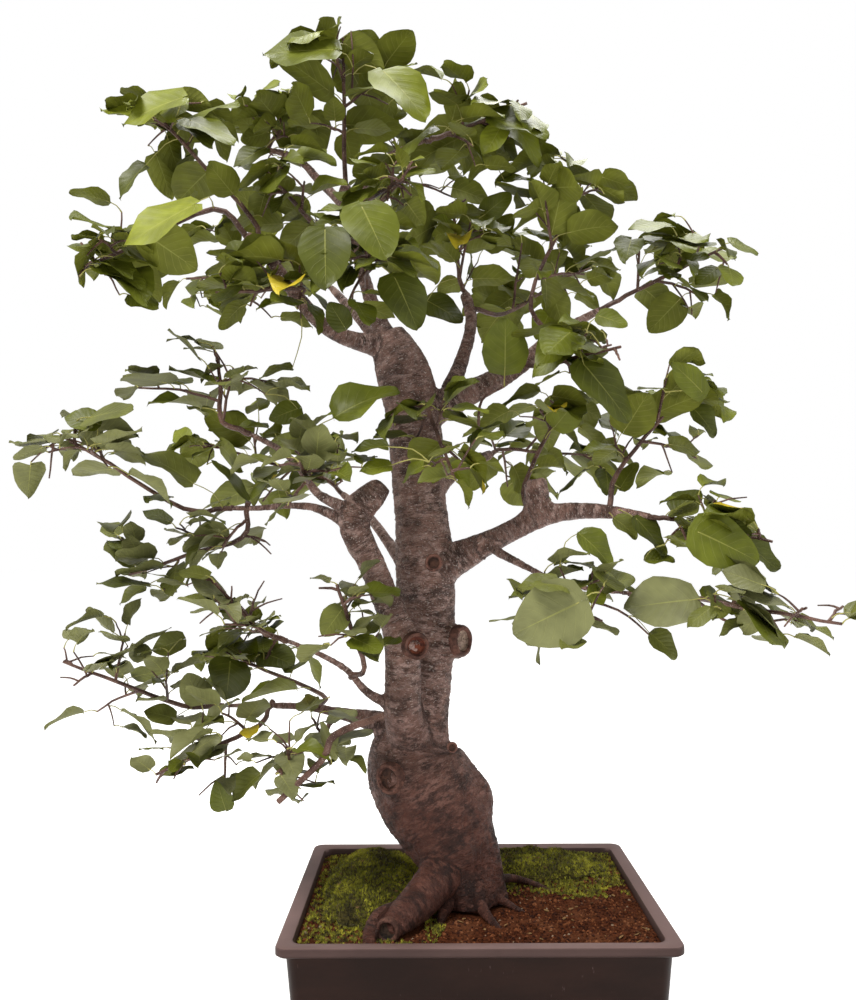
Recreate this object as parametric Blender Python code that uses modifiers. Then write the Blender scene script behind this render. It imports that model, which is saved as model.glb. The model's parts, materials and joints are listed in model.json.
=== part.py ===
"""An alder bonsai with two stems in a rectangular training pot.

Metres, +Z up. The origin is the centre of the pot's flat underside, X runs along the pot's long
side and the tree's front faces -Y. The trunk, each bough and each mass of foliage is one object.
"""

import math
import random

import bmesh
import bpy
from mathutils import Quaternion, Vector
from mathutils.bvhtree import BVHTree

GAP = 0.0003  # kept between neighbours that touch on the real tree
CUT_GAP = 0.0008  # how far a cutter stands off its piece, which leaves GAP at its facets too
SEAT_GAP = 0.0004  # from the corners of a stem's foot to its limb, which leaves GAP between them

# The pot: outer sizes of its rim, then the wall under the rim's flange.
POT_WIDTH = 0.410
POT_DEPTH = 0.310
POT_HEIGHT = 0.140
POT_CORNER = 0.012
FLANGE = 0.0085
FLANGE_DROP = 0.010
POT_TAPER = 0.0115  # each wall leans in by this much on its way down
POT_WALL = 0.0080
POT_FLOOR = 0.005
DRAIN_RADIUS = 0.008
DRAIN_SPACING = (0.11, 0.075)

# The soil: nearly level, and flat where the trunk and the surface root lie.
SOIL_EDGE = 0.131
SOIL_TOP = 0.134
SOIL_SHOULDER = 0.024

# Stations of the woody limbs: x, y, z, radius.
TRUNK_TRIANGLES = 1500
TRUNK_VOXEL = 0.0035
STEM_TRIANGLES = 500
STEM_VOXEL = 0.0030
TRUNK = [
    (-0.005, -0.032, 0.115, 0.036),
    (-0.009, -0.028, 0.150, 0.037),
    (-0.016, -0.020, 0.175, 0.045),
    (-0.030, -0.010, 0.212, 0.057),
    (-0.053, 0.000, 0.254, 0.065),
    (-0.071, 0.006, 0.292, 0.056),
    (-0.062, 0.012, 0.338, 0.038),
    (-0.054, 0.014, 0.420, 0.035),
    (-0.053, 0.012, 0.500, 0.037),
    (-0.060, 0.008, 0.600, 0.033),
    (-0.068, 0.004, 0.700, 0.0345),
    (-0.078, 0.002, 0.745, 0.035),
    (-0.090, 0.000, 0.778, 0.029),
    (-0.099, -0.002, 0.800, 0.021),
]
SURFACE_ROOT = [
    (-0.018, -0.026, 0.185, 0.026),
    (-0.044, -0.060, 0.170, 0.023),
    (-0.068, -0.085, 0.152, 0.021),
    (-0.086, -0.106, 0.141, 0.0175),
    (-0.092, -0.114, 0.136, 0.015),
]
ROOT_FLARES = {
    "left": [(-0.015, -0.015, 0.200, 0.030), (-0.040, 0.000, 0.160, 0.020), (-0.056, 0.006, 0.126, 0.014)],
    "right": [(0.004, -0.022, 0.200, 0.026), (0.020, -0.022, 0.160, 0.017), (0.036, -0.026, 0.126, 0.011)],
    "back": [(-0.012, 0.000, 0.200, 0.028), (-0.006, 0.018, 0.160, 0.019), (0.000, 0.034, 0.126, 0.012)],
    "toe": [(-0.044, -0.075, 0.160, 0.015), (-0.080, -0.092, 0.138, 0.010), (-0.094, -0.118, 0.126, 0.008)],
}
HUMP = ((-0.010, -0.004, 0.238), (0.037, 0.036, 0.045))  # old wound wood on the trunk's right
SECOND_STEM = [
    (-0.062, -0.004, 0.290, 0.030),
    (-0.079, -0.034, 0.345, 0.0235),
    (-0.079, -0.042, 0.400, 0.0215),
    (-0.081, -0.044, 0.432, 0.021),
    (-0.096, -0.046, 0.472, 0.0165),
    (-0.115, -0.050, 0.520, 0.016),
    (-0.133, -0.054, 0.557, 0.0185),
    (-0.131, -0.054, 0.580, 0.019),
    (-0.116, -0.052, 0.594, 0.0175),
    (-0.101, -0.050, 0.611, 0.0125),
]
# Scars of cut boughs, as short thick stubs: where they start, where they end, radius.
TRUNK_SCARS = {
    "ring": ((-0.035, 0.005, 0.425), (-0.008, -0.012, 0.427), 0.021),
    "knot": ((-0.070, -0.030, 0.272), (-0.094, -0.056, 0.274), 0.018),
    "burl": ((-0.012, -0.035, 0.205), (-0.016, -0.068, 0.196), 0.016),
    "back": ((-0.055, 0.020, 0.640), (-0.050, 0.052, 0.646), 0.020),
}
STEM_SCARS = {
    "cut": ((-0.075, -0.046, 0.428), (-0.064, -0.072, 0.428), 0.0125),
}
SPUR = ((0.079, -0.025, 0.570), (0.077, -0.022, 0.620), 0.0150)  # cut leader on the lower right bough

# Each bough: the limb that carries it, then its stations.
BOUGHS = {
    "bough_low_right": ("trunk", [(-0.045, 0.010, 0.512, 0.032), (0.000, 0.000, 0.532, 0.0205),
                                  (0.035, -0.010, 0.550, 0.0155), (0.070, -0.022, 0.567, 0.0145),
                                  (0.104, -0.034, 0.578, 0.013), (0.150, -0.050, 0.578, 0.010),
                                  (0.205, -0.066, 0.570, 0.0052)]),
    "bough_up_right": ("trunk", [(-0.060, 0.006, 0.700, 0.029), (-0.009, 0.010, 0.722, 0.0195),
                                 (0.043, 0.016, 0.749, 0.0155), (0.075, 0.020, 0.770, 0.0117),
                                 (0.102, 0.022, 0.798, 0.0086), (0.172, 0.026, 0.837, 0.0055)]),
    "bough_riser": ("bough_up_right", [(-0.026, 0.016, 0.722, 0.014), (-0.003, 0.034, 0.783, 0.0100),
                                       (0.007, 0.050, 0.831, 0.0088), (-0.002, 0.062, 0.869, 0.0090)]),
    "bough_top_left": ("trunk", [(-0.094, 0.000, 0.782, 0.020), (-0.137, -0.022, 0.784, 0.0120),
                                 (-0.173, -0.045, 0.797, 0.0105), (-0.207, -0.066, 0.837, 0.0096),
                                 (-0.232, -0.082, 0.870, 0.0078), (-0.253, -0.095, 0.886, 0.0098)]),
    "bough_apex": ("trunk", [(-0.098, -0.002, 0.785, 0.0165), (-0.116, 0.004, 0.832, 0.0108),
                             (-0.130, 0.008, 0.878, 0.0092), (-0.140, 0.010, 0.924, 0.0092),
                             (-0.150, 0.010, 0.968, 0.0122), (-0.151, 0.009, 0.992, 0.0070)]),
    "bough_apex_left": ("bough_apex", [(-0.147, 0.010, 0.958, 0.0080), (-0.188, 0.030, 1.005, 0.0066),
                                       (-0.216, 0.045, 1.041, 0.0056), (-0.251, 0.060, 1.058, 0.0050)]),
    "bough_apex_right": ("bough_apex", [(-0.147, 0.008, 0.955, 0.0075), (-0.112, -0.004, 1.005, 0.0055),
                                        (-0.082, -0.012, 1.024, 0.0044), (-0.040, -0.019, 1.034, 0.0036)]),
    "bough_low_left": ("trunk", [(-0.075, -0.002, 0.318, 0.024), (-0.118, -0.004, 0.334, 0.0150),
                                 (-0.160, -0.001, 0.343, 0.0085), (-0.205, 0.006, 0.350, 0.0062),
                                 (-0.309, 0.020, 0.348, 0.0043)]),
    "bough_low_left_up": ("second_stem", [(-0.084, -0.034, 0.352, 0.0095), (-0.122, -0.045, 0.374, 0.0057),
                                          (-0.141, -0.050, 0.399, 0.0048), (-0.181, -0.050, 0.421, 0.0040),
                                          (-0.222, -0.046, 0.436, 0.0034)]),
    "bough_mid_left": ("second_stem", [(-0.131, -0.055, 0.578, 0.0105), (-0.173, -0.070, 0.596, 0.0062),
                                       (-0.191, -0.079, 0.624, 0.0052), (-0.217, -0.085, 0.649, 0.0046),
                                       (-0.257, -0.090, 0.668, 0.0036)]),
    "bough_mid_left_low": ("second_stem", [(-0.132, -0.054, 0.560, 0.0105), (-0.184, -0.046, 0.586, 0.0057),
                                           (-0.241, -0.040, 0.584, 0.0046), (-0.288, -0.036, 0.584, 0.0036)]),
    "bough_right_under": ("bough_low_right", [(0.018, -0.008, 0.540, 0.0080), (0.063, -0.056, 0.514, 0.0048),
                                              (0.090, -0.083, 0.500, 0.0042), (0.130, -0.105, 0.490, 0.0036),
                                              (0.174, -0.120, 0.487, 0.0030)]),
    "bough_back_right": ("trunk", [(-0.057, 0.010, 0.585, 0.020), (-0.027, 0.070, 0.625, 0.0108),
                                   (0.007, 0.130, 0.653, 0.0090), (0.041, 0.180, 0.672, 0.0080)]),
    "bough_back_left": ("trunk", [(-0.056, 0.012, 0.470, 0.018), (-0.087, 0.080, 0.523, 0.0096),
                                  (-0.127, 0.140, 0.577, 0.0078), (-0.176, 0.190, 0.619, 0.0064)]),
    "bough_back_high": ("trunk", [(-0.084, 0.000, 0.738, 0.018), (-0.111, 0.060, 0.799, 0.0096),
                                  (-0.153, 0.120, 0.863, 0.0078), (-0.188, 0.165, 0.910, 0.0062)]),
}

# Each mass of foliage: the limb that carries its stem, how far along that limb the stem starts,
# then the centre and the half sizes of the egg-shaped space that the mass keeps to.
MASSES = {
    "leaves_apex_leader": ("bough_apex", 1.00, (-0.152, -0.004, 1.112), (0.110, 0.085, 0.085)),
    "leaves_apex_right": ("bough_apex_right", 1.00, (0.005, -0.030, 1.045), (0.105, 0.080, 0.075)),
    "leaves_apex_front": ("bough_apex", 0.70, (-0.095, -0.080, 0.945), (0.055, 0.060, 0.060)),
    "leaves_apex_left": ("bough_apex_left", 1.00, (-0.240, 0.050, 1.080), (0.075, 0.080, 0.080)),
    "leaves_upper_left_high": ("bough_top_left", 0.90, (-0.325, -0.060, 1.000), (0.090, 0.085, 0.080)),
    "leaves_upper_left_far": ("bough_top_left", 1.00, (-0.370, -0.120, 0.865), (0.085, 0.080, 0.075)),
    "leaves_upper_left_mid": ("bough_apex", 0.55, (-0.215, -0.045, 0.955), (0.075, 0.070, 0.065)),
    "leaves_upper_left_low": ("bough_top_left", 0.55, (-0.230, -0.090, 0.825), (0.080, 0.070, 0.065)),
    "leaves_centre_front": ("bough_apex", 0.30, (-0.115, -0.100, 0.850), (0.080, 0.070, 0.080)),
    "leaves_upper_mid": ("bough_riser", 1.00, (-0.012, 0.052, 0.932), (0.085, 0.080, 0.075)),
    "leaves_upper_right_high": ("bough_up_right", 0.80, (0.120, 0.010, 0.940), (0.090, 0.090, 0.105)),
    "leaves_upper_right_far": ("bough_up_right", 1.00, (0.250, -0.010, 0.870), (0.090, 0.085, 0.080)),
    "leaves_upper_right_low": ("bough_up_right", 0.55, (0.125, -0.060, 0.755), (0.090, 0.070, 0.045)),
    "leaves_mid_right_high": ("bough_low_right", 0.85, (0.225, -0.005, 0.685), (0.105, 0.080, 0.100)),
    "leaves_mid_right_inner": ("bough_low_right", 0.50, (0.100, 0.030, 0.680), (0.090, 0.075, 0.065)),
    "leaves_mid_right_far": ("bough_low_right", 1.00, (0.265, -0.100, 0.555), (0.085, 0.080, 0.065)),
    "leaves_low_right_far": ("bough_right_under", 1.00, (0.285, -0.160, 0.472), (0.120, 0.080, 0.058)),
    "leaves_low_right_inner": ("bough_right_under", 0.55, (0.090, -0.165, 0.480), (0.080, 0.075, 0.065)),
    "leaves_mid_left_high": ("bough_mid_left", 1.00, (-0.285, -0.070, 0.720), (0.125, 0.090, 0.060)),
    "leaves_mid_left_far": ("bough_mid_left_low", 1.00, (-0.400, -0.090, 0.630), (0.100, 0.090, 0.065)),
    "leaves_mid_left_low": ("bough_mid_left_low", 0.80, (-0.335, -0.010, 0.530), (0.125, 0.085, 0.075)),
    "leaves_mid_left_inner": ("bough_mid_left", 0.40, (-0.180, -0.130, 0.615), (0.090, 0.070, 0.065)),
    "leaves_mid_front": ("trunk", 0.78, (-0.035, -0.095, 0.650), (0.075, 0.065, 0.075)),
    "leaves_low_left_high": ("bough_low_left_up", 1.00, (-0.260, -0.070, 0.470), (0.100, 0.080, 0.055)),
    "leaves_low_left_up": ("bough_low_left_up", 0.45, (-0.135, -0.110, 0.460), (0.060, 0.060, 0.070)),
    "leaves_low_left_far": ("bough_low_left", 1.00, (-0.420, 0.000, 0.380), (0.095, 0.090, 0.100)),
    "leaves_low_left_mid": ("bough_low_left", 0.85, (-0.300, -0.045, 0.310), (0.090, 0.075, 0.085)),
    "leaves_low_left_inner": ("bough_low_left", 0.50, (-0.190, -0.080, 0.315), (0.075, 0.065, 0.065)),
    "leaves_back_top": ("bough_apex", 0.85, (-0.088, 0.142, 1.050), (0.120, 0.090, 0.120)),
    "leaves_back_high_left": ("bough_back_high", 1.00, (-0.300, 0.180, 0.930), (0.135, 0.105, 0.110)),
    "leaves_back_high_right": ("bough_riser", 0.80, (0.110, 0.170, 0.900), (0.120, 0.100, 0.115)),
    "leaves_back_right": ("bough_back_right", 1.00, (0.120, 0.230, 0.680), (0.135, 0.105, 0.095)),
    "leaves_back_left": ("bough_back_left", 1.00, (-0.285, 0.205, 0.665), (0.135, 0.105, 0.090)),
    "leaves_back_low_left": ("bough_low_left", 0.65, (-0.270, 0.135, 0.375), (0.115, 0.085, 0.085)),
}

# How foliage grows.
SPACE_MARGIN = 0.04  # of a space's half size, kept clear on both sides of the border of two spaces
CLEARANCE = 0.0015  # from shoots and leaves to limbs and to other masses' stems
STEM_RADIUS = (0.0037, 0.0027)
SHOOT_RADIUS = (0.0013, 0.0011)
LEAF_ROOT = 0.0005  # radius of a leaf's stalk where it is sunk in its twig
WIDEST_LIMB = 0.08  # further out than the bark of any limb is from its middle
STEM_TURNS = (0, 25, -25, 50, -50, 75, -75, 100, -100, 140, -140, 180)
STEM_KNEE = 0.35  # of the way from the stem's foot to the mass's centre
STEM_REACH = 0.72  # of the way from the centre to the border
SHOOTS = 5
SHOOT_REACH = 0.125
SHORTEST_SHOOT = 0.022
BORDER_STEP = 0.004
LEAF_SPACING = 0.037
LEAF_LENGTH = 0.078  # with the leaf stalk
LEAF_SIZES = (0.85, 1.18)
LEAF_LEAN = 1.5  # radians either side of outward that an upper face may turn to
LEAF_CHOICES = 7  # directions that a leaf tries before it is left out
LEAF_RUN = (0.21, 0.75)  # along its twig: where the first leaf is, and from there to the last
CROWN_AXIS = -0.06
GOLDEN_ANGLE = math.radians(137.5)
UP = Vector((0, 0, 1))

BARK = (0.22, 0.17, 0.14, 1)
SOIL_BROWN = (0.16, 0.07, 0.04, 1)
MOSS_GREEN = (0.16, 0.22, 0.05, 1)
PLASTIC = (0.11, 0.075, 0.07, 1)
LEAF_GREENS = [(0.09, 0.16, 0.04, 1), (0.12, 0.20, 0.05, 1), (0.15, 0.20, 0.10, 1)]


# ---------------------------------------------------------------- objects


def start_scene():
    for obj in list(bpy.data.objects):
        bpy.data.objects.remove(obj, do_unlink=True)
    tree = bpy.data.collections.new("alder_bonsai")
    bpy.context.scene.collection.children.link(tree)
    return tree


def material(name, colour, roughness):
    made = bpy.data.materials.new(name)
    made.use_nodes = True
    shader = made.node_tree.nodes["Principled BSDF"]
    shader.inputs["Base Color"].default_value = colour
    shader.inputs["Roughness"].default_value = roughness
    return made


def finish(obj, colour, roughness=0.8):
    """Gives a node its own material and shades its round sides smooth."""
    obj.data.materials.clear()
    obj.data.materials.append(material(obj.name, colour, roughness))
    obj.data.shade_smooth()
    obj.data.set_sharp_from_angle(angle=math.radians(50))


def object_from(bm, name):
    bmesh.ops.recalc_face_normals(bm, faces=bm.faces)
    mesh = bpy.data.meshes.new(name)
    bm.to_mesh(mesh)
    bm.free()
    obj = bpy.data.objects.new(name, mesh)
    TREE.objects.link(obj)
    return obj


def replace_mesh(obj, mesh):
    old = obj.data
    obj.data = mesh
    obj.modifiers.clear()
    bpy.data.meshes.remove(old)


def apply_modifiers(obj):
    graph = bpy.context.evaluated_depsgraph_get()
    replace_mesh(obj, bpy.data.meshes.new_from_object(obj.evaluated_get(graph)))


def remove(objects):
    for obj in objects:
        data = obj.data
        bpy.data.objects.remove(obj, do_unlink=True)
        if data.users == 0:
            bpy.data.batch_remove([data])


def keep_outer_shell(obj):
    """Drops loose scraps and the walls of sealed hollows: only the widest shell stays."""
    bm = bmesh.new()
    bm.from_mesh(obj.data)
    bmesh.ops.triangulate(bm, faces=bm.faces)
    left = set(bm.faces)
    shells = []
    while left:
        shell = {left.pop()}
        edge_of_shell = list(shell)
        while edge_of_shell:
            face = edge_of_shell.pop()
            sides = [edge.link_faces for edge in face.edges if len(edge.link_faces) == 2]
            near = {other for pair in sides for other in pair} & left
            left -= near
            shell |= near
            edge_of_shell.extend(near)
        shells.append(shell)
    widest = max(shells, key=lambda shell: sum(face.calc_area() for face in shell))
    scrap = [face for shell in shells if shell is not widest for face in shell]
    bmesh.ops.delete(bm, geom=scrap, context="FACES")
    bm.to_mesh(obj.data)
    bm.free()


def unite(obj, others, solver="MANIFOLD"):
    """One Boolean union of the object with all the others, which are then removed."""
    joined = bpy.data.collections.new("joined")
    bpy.context.scene.collection.children.link(joined)
    for other in others:
        TREE.objects.unlink(other)
        joined.objects.link(other)
    union = obj.modifiers.new("union", "BOOLEAN")
    union.operation = "UNION"
    union.operand_type = "COLLECTION"
    union.collection = joined
    union.solver = solver
    apply_modifiers(obj)
    remove(others)
    bpy.data.collections.remove(joined)
    keep_outer_shell(obj)


def cut_clear(obj, other):
    """Cuts the object clear of another one, which stands off by the gap between them."""
    cutter = bpy.data.objects.new("cutter", other.data.copy())
    CUTTERS.objects.link(cutter)
    cutter.hide_render = True
    cutter.display_type = "WIRE"
    for vertex, normal in zip(cutter.data.vertices, [v.normal.copy() for v in cutter.data.vertices]):
        vertex.co += normal * CUT_GAP
    boolean = obj.modifiers.new("cut", "BOOLEAN")
    boolean.operation = "DIFFERENCE"
    boolean.object = cutter
    apply_modifiers(obj)
    remove([cutter])
    keep_outer_shell(obj)


# ---------------------------------------------------------------- limbs


def smooth(stations, steps):
    """Rows on a smooth curve through the stations, with as many steps between each two."""
    rows = [Vector(station) for station in stations]
    rows = [2 * rows[0] - rows[1]] + rows + [2 * rows[-1] - rows[-2]]
    curve = []
    for a, b, c, d in zip(rows, rows[1:], rows[2:], rows[3:]):
        for step in range(steps):
            t = step / steps
            bend = (c - a) * t + (2 * a - 5 * b + 4 * c - d) * t**2 + (3 * b - a - 3 * c + d) * t**3
            curve.append(b + bend / 2)
    return curve + [rows[-2]]


def tube(name, rows, sides=8):
    """A tapering round limb along the rows: a curve with a bevel, made a mesh with its caps welded."""
    curve = bpy.data.curves.new(name, "CURVE")
    curve.dimensions = "3D"
    curve.bevel_depth = 1.0
    curve.bevel_resolution = sides // 2 - 2
    curve.use_fill_caps = True
    spline = curve.splines.new("POLY")
    spline.points.add(len(rows) - 1)
    for point, (x, y, z, radius) in zip(spline.points, rows):
        point.co = (x, y, z, 1)
        point.radius = radius
    guide = bpy.data.objects.new(name, curve)
    TREE.objects.link(guide)
    graph = bpy.context.evaluated_depsgraph_get()
    bm = bmesh.new()
    bm.from_mesh(bpy.data.meshes.new_from_object(guide.evaluated_get(graph)))
    bmesh.ops.remove_doubles(bm, verts=bm.verts, dist=1e-5)
    remove([guide])
    return object_from(bm, name)


def stub(name, start, end, radius):
    """A short stub of even thickness."""
    return tube(name, [(*start, radius), (*end, radius)], sides=12)


def ball(name, centre, sizes):
    bm = bmesh.new()
    bmesh.ops.create_uvsphere(bm, u_segments=14, v_segments=8, radius=1)
    bmesh.ops.scale(bm, vec=sizes, verts=bm.verts)
    bmesh.ops.translate(bm, vec=centre, verts=bm.verts)
    return object_from(bm, name)


def blend(obj, voxel, smoothing, triangles):
    """Makes fused limbs one skin: fillets where they meet, at about so many triangles."""
    remesh = obj.modifiers.new("remesh", "REMESH")
    remesh.mode = "VOXEL"
    remesh.voxel_size = voxel
    soften = obj.modifiers.new("soften", "SMOOTH")
    soften.factor = 0.5
    soften.iterations = smoothing
    apply_modifiers(obj)
    thin = obj.modifiers.new("thin", "DECIMATE")
    thin.ratio = triangles / (2 * len(obj.data.polygons))
    apply_modifiers(obj)


def cut_level(obj, height):
    """Cuts off what lies lower than the height, as flat as the soil there."""
    bm = bmesh.new()
    bmesh.ops.create_cube(bm, size=1.0)
    bmesh.ops.translate(bm, vec=(0, 0, height - 0.5), verts=bm.verts)
    block = object_from(bm, "block")
    boolean = obj.modifiers.new("level", "BOOLEAN")
    boolean.operation = "DIFFERENCE"
    boolean.object = block
    apply_modifiers(obj)
    remove([block])
    keep_outer_shell(obj)


def build_trunk():
    trunk = tube("trunk", smooth(TRUNK, 3), sides=12)
    others = [tube("root", smooth(SURFACE_ROOT, 3), sides=12)]
    others += [tube("flare_" + side, smooth(rows, 3)) for side, rows in ROOT_FLARES.items()]
    others += [stub("scar_" + name, *scar) for name, scar in TRUNK_SCARS.items()]
    others.append(ball("hump", *HUMP))
    unite(trunk, others, "EXACT")
    blend(trunk, TRUNK_VOXEL, 3, TRUNK_TRIANGLES)
    cut_level(trunk, SOIL_TOP + GAP)
    finish(trunk, BARK)
    return trunk


def build_second_stem(trunk):
    stem = tube("second_stem", smooth(SECOND_STEM, 3), sides=12)
    unite(stem, [stub("scar_" + name, *scar) for name, scar in STEM_SCARS.items()], "EXACT")
    blend(stem, STEM_VOXEL, 2, STEM_TRIANGLES)
    cut_clear(stem, trunk)
    finish(stem, BARK)
    return stem


def build_limbs():
    """All the wood: the trunk first, then each bough, cut clear of the limbs made before it."""
    limbs = {"trunk": build_trunk()}
    limbs["second_stem"] = build_second_stem(limbs["trunk"])
    for name, (_, stations) in BOUGHS.items():
        bough = tube(name, smooth(stations, 2), sides=6)
        if name == "bough_low_right":
            unite(bough, [stub("spur", *SPUR)], "EXACT")
        for limb in limbs.values():
            if tree_of(limb).overlap(tree_of(bough)):
                cut_clear(bough, limb)
        finish(bough, BARK)
        limbs[name] = bough
    return limbs


def tree_of(obj):
    return BVHTree.FromPolygons([v.co for v in obj.data.vertices], [p.vertices for p in obj.data.polygons])


# ---------------------------------------------------------------- foliage


class Space:
    """The egg-shaped space of one mass."""

    def __init__(self, name):
        self.name = name
        self.limb, self.along, centre, sizes = MASSES[name]
        self.centre = Vector(centre)
        self.sizes = Vector(sizes)

    def depth(self, point):
        """0 at the centre, 1 on the border."""
        away = point - self.centre
        return Vector([a / s for a, s in zip(away, self.sizes)]).length

    def holds(self, point):
        mine = self.depth(point)
        return mine < 1 and all(
            mine + SPACE_MARGIN < other.depth(point) for other in SPACES if other is not self
        )


def stations_of(limb):
    if limb == "trunk":
        return TRUNK
    return BOUGHS[limb][1]


def seat_of(space, trees, turn):
    """Where the mass's stem meets its limb: a point just clear of the bark, and the way out of it.

    A stem carries on from its limb's tip, or leaves its side, moved about the limb by the turn.
    """
    rows = smooth(stations_of(space.limb), 8)
    place = round(space.along * (len(rows) - 1))
    inner = rows[place].xyz
    onward = (rows[place].xyz - rows[place - 1].xyz).normalized()
    if space.along == 1:
        return inner + onward * SEAT_GAP, onward
    outward = (space.centre - inner).normalized()
    outward = (outward - 0.8 * outward.dot(onward) * onward).normalized()
    outward = Quaternion(onward, math.radians(turn)) @ outward
    tree = trees[space.limb]
    hit, _, _, _ = tree.ray_cast(inner + outward * WIDEST_LIMB, -outward)
    start = hit + outward * SEAT_GAP
    while min(height_over(tree, point) for point in foot_of(start, outward)) < SEAT_GAP:
        start += outward * SEAT_GAP / 8
    return start, outward


def foot_of(start, outward):
    """The middle of a stem's foot, its corners and the middles of its sides."""
    corners = triangle(start, outward, STEM_RADIUS[0])
    return [start] + corners + [a.lerp(b, 0.5) for a, b in zip(corners, corners[1:] + corners[:1])]


def height_over(tree, point):
    """Distance of a point from a limb's bark, negative inside the limb."""
    near, normal, _, _ = tree.find_nearest(point)
    return (point - near).length * (1 if (point - near).dot(normal) > 0 else -1)


def triangle(centre, forward, radius, upright=False):
    """The three corners of a twig's section, turned the same way all along an upright or a level twig."""
    side = forward.cross(Vector((1, 0, 0)) if upright else UP).normalized()
    over = side.cross(forward)
    turns = [math.radians(90 + 120 * k) for k in range(3)]
    return [centre + (side * math.cos(a) + over * math.sin(a)) * radius for a in turns]


def twig(name, path, radii):
    """A three-sided twig, lofted along the path from its thick end to its thin one."""
    bm = bmesh.new()
    upright = abs((path[-1] - path[0]).normalized().z) > 0.9
    rings = []
    for k, point in enumerate(path):
        forward = (path[min(k + 1, len(path) - 1)] - path[max(k - 1, 0)]).normalized()
        radius = radii[0] + (radii[1] - radii[0]) * k / (len(path) - 1)
        rings.append([bm.verts.new(corner) for corner in triangle(point, forward, radius, upright)])
    for low, high in zip(rings, rings[1:]):
        for k in range(3):
            bm.faces.new((low[k], low[k - 2], high[k - 2], high[k]))
    bm.faces.new(rings[0])
    bm.faces.new(rings[-1])
    return object_from(bm, name)


def leaf_frame(root, along, face_up):
    """Rows of a frame with its first axis along the leaf and its last one out of its upper face."""
    along = along.normalized()
    across = face_up.cross(along).normalized()
    return root, along, across, along.cross(across)


def leaf_corners(frame, length):
    """A leaf's corners: left, right and keel at its root, the same where it is widest, then its tip."""
    root, along, across, out = frame
    thin = LEAF_ROOT / length
    places = [
        (0.0, -thin, 0.5 * thin),
        (0.0, thin, 0.5 * thin),
        (0.0, 0.0, -thin),
        (0.52, -0.33, 0.030),
        (0.52, 0.33, 0.030),
        (0.50, 0.00, 0.016),
        (1.00, 0.00, -0.060),
    ]
    return [root + (along * a + across * b + out * c) * length for a, b, c in places]


def leaf(name, frame, length):
    """A leaf lofted from a stalk sunk in its twig to a wide, thin middle and a tip."""
    bm = bmesh.new()
    verts = [bm.verts.new(point) for point in leaf_corners(frame, length)]
    bm.faces.new(verts[:3])
    for k in range(3):
        low, high = (k, (k + 1) % 3), (k + 3, (k + 1) % 3 + 3)
        bm.faces.new((verts[low[0]], verts[low[1]], verts[high[1]], verts[high[0]]))
        bm.faces.new((verts[high[0]], verts[high[1]], verts[6]))
    bmesh.ops.triangulate(bm, faces=bm.faces)
    return object_from(bm, name)


def border_along(space, start, way, longest):
    """How far the way from the start stays inside the mass's space."""
    reach = 0.0
    while reach < longest and space.holds(start + way * (reach + BORDER_STEP)):
        reach += BORDER_STEP
    return reach


def stem_path(space, trees, made):
    """The first way for the mass's stem, out of the bark and through its space, that meets nothing."""
    for turn in STEM_TURNS:
        start, outward = seat_of(space, trees, turn)
        knee = start + outward * STEM_KNEE * (space.centre - start).length
        onward = (space.centre - knee).normalized()
        far = space.centre + onward * border_along(space, space.centre, onward, 1.0) * STEM_REACH
        path = [start, knee, space.centre, far]
        slim = twig_tree(path, STEM_RADIUS)
        wide = twig_tree([start.lerp(knee, 0.2)] + path[1:], [radius + CLEARANCE for radius in STEM_RADIUS])
        others = list(trees.values()) + list(made.values())
        if not any(tree.overlap(slim) or tree.overlap(wide) for tree in others):
            return path
    print(f"{space.name}: its stem finds no free way")
    return path


def twig_tree(path, radii):
    guide = twig("guide", path, radii)
    tree = tree_of(guide)
    remove([guide])
    return tree


def shoots_of(space, stem):
    """Side shoots, each turned by the golden angle around the stem from the one before."""
    chance = random.Random(space.name)
    turn = chance.uniform(0, math.tau)
    inside = [k for k, point in enumerate(stem) if space.holds(point)]
    shoots = []
    for number in range(SHOOTS):
        place = inside[0] + (len(stem) - 1 - inside[0]) * (number + 0.6) / SHOOTS
        k = min(int(place), len(stem) - 2)
        root = stem[k].lerp(stem[k + 1], place - k)
        forward = (stem[k + 1] - stem[k]).normalized()
        side = forward.cross(UP).normalized()
        over = side.cross(forward)
        turn += GOLDEN_ANGLE
        way = side * math.cos(turn) + over * math.sin(turn) + forward * 0.45 + UP * 0.15
        way = (way + Vector([chance.uniform(-0.2, 0.2) for _ in range(3)])).normalized()
        reach = border_along(space, root, way, SHOOT_REACH) - LEAF_LENGTH * 0.45
        reach = max(reach, SHORTEST_SHOOT)
        shoots.append([root, root + way * reach])
    return shoots


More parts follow.
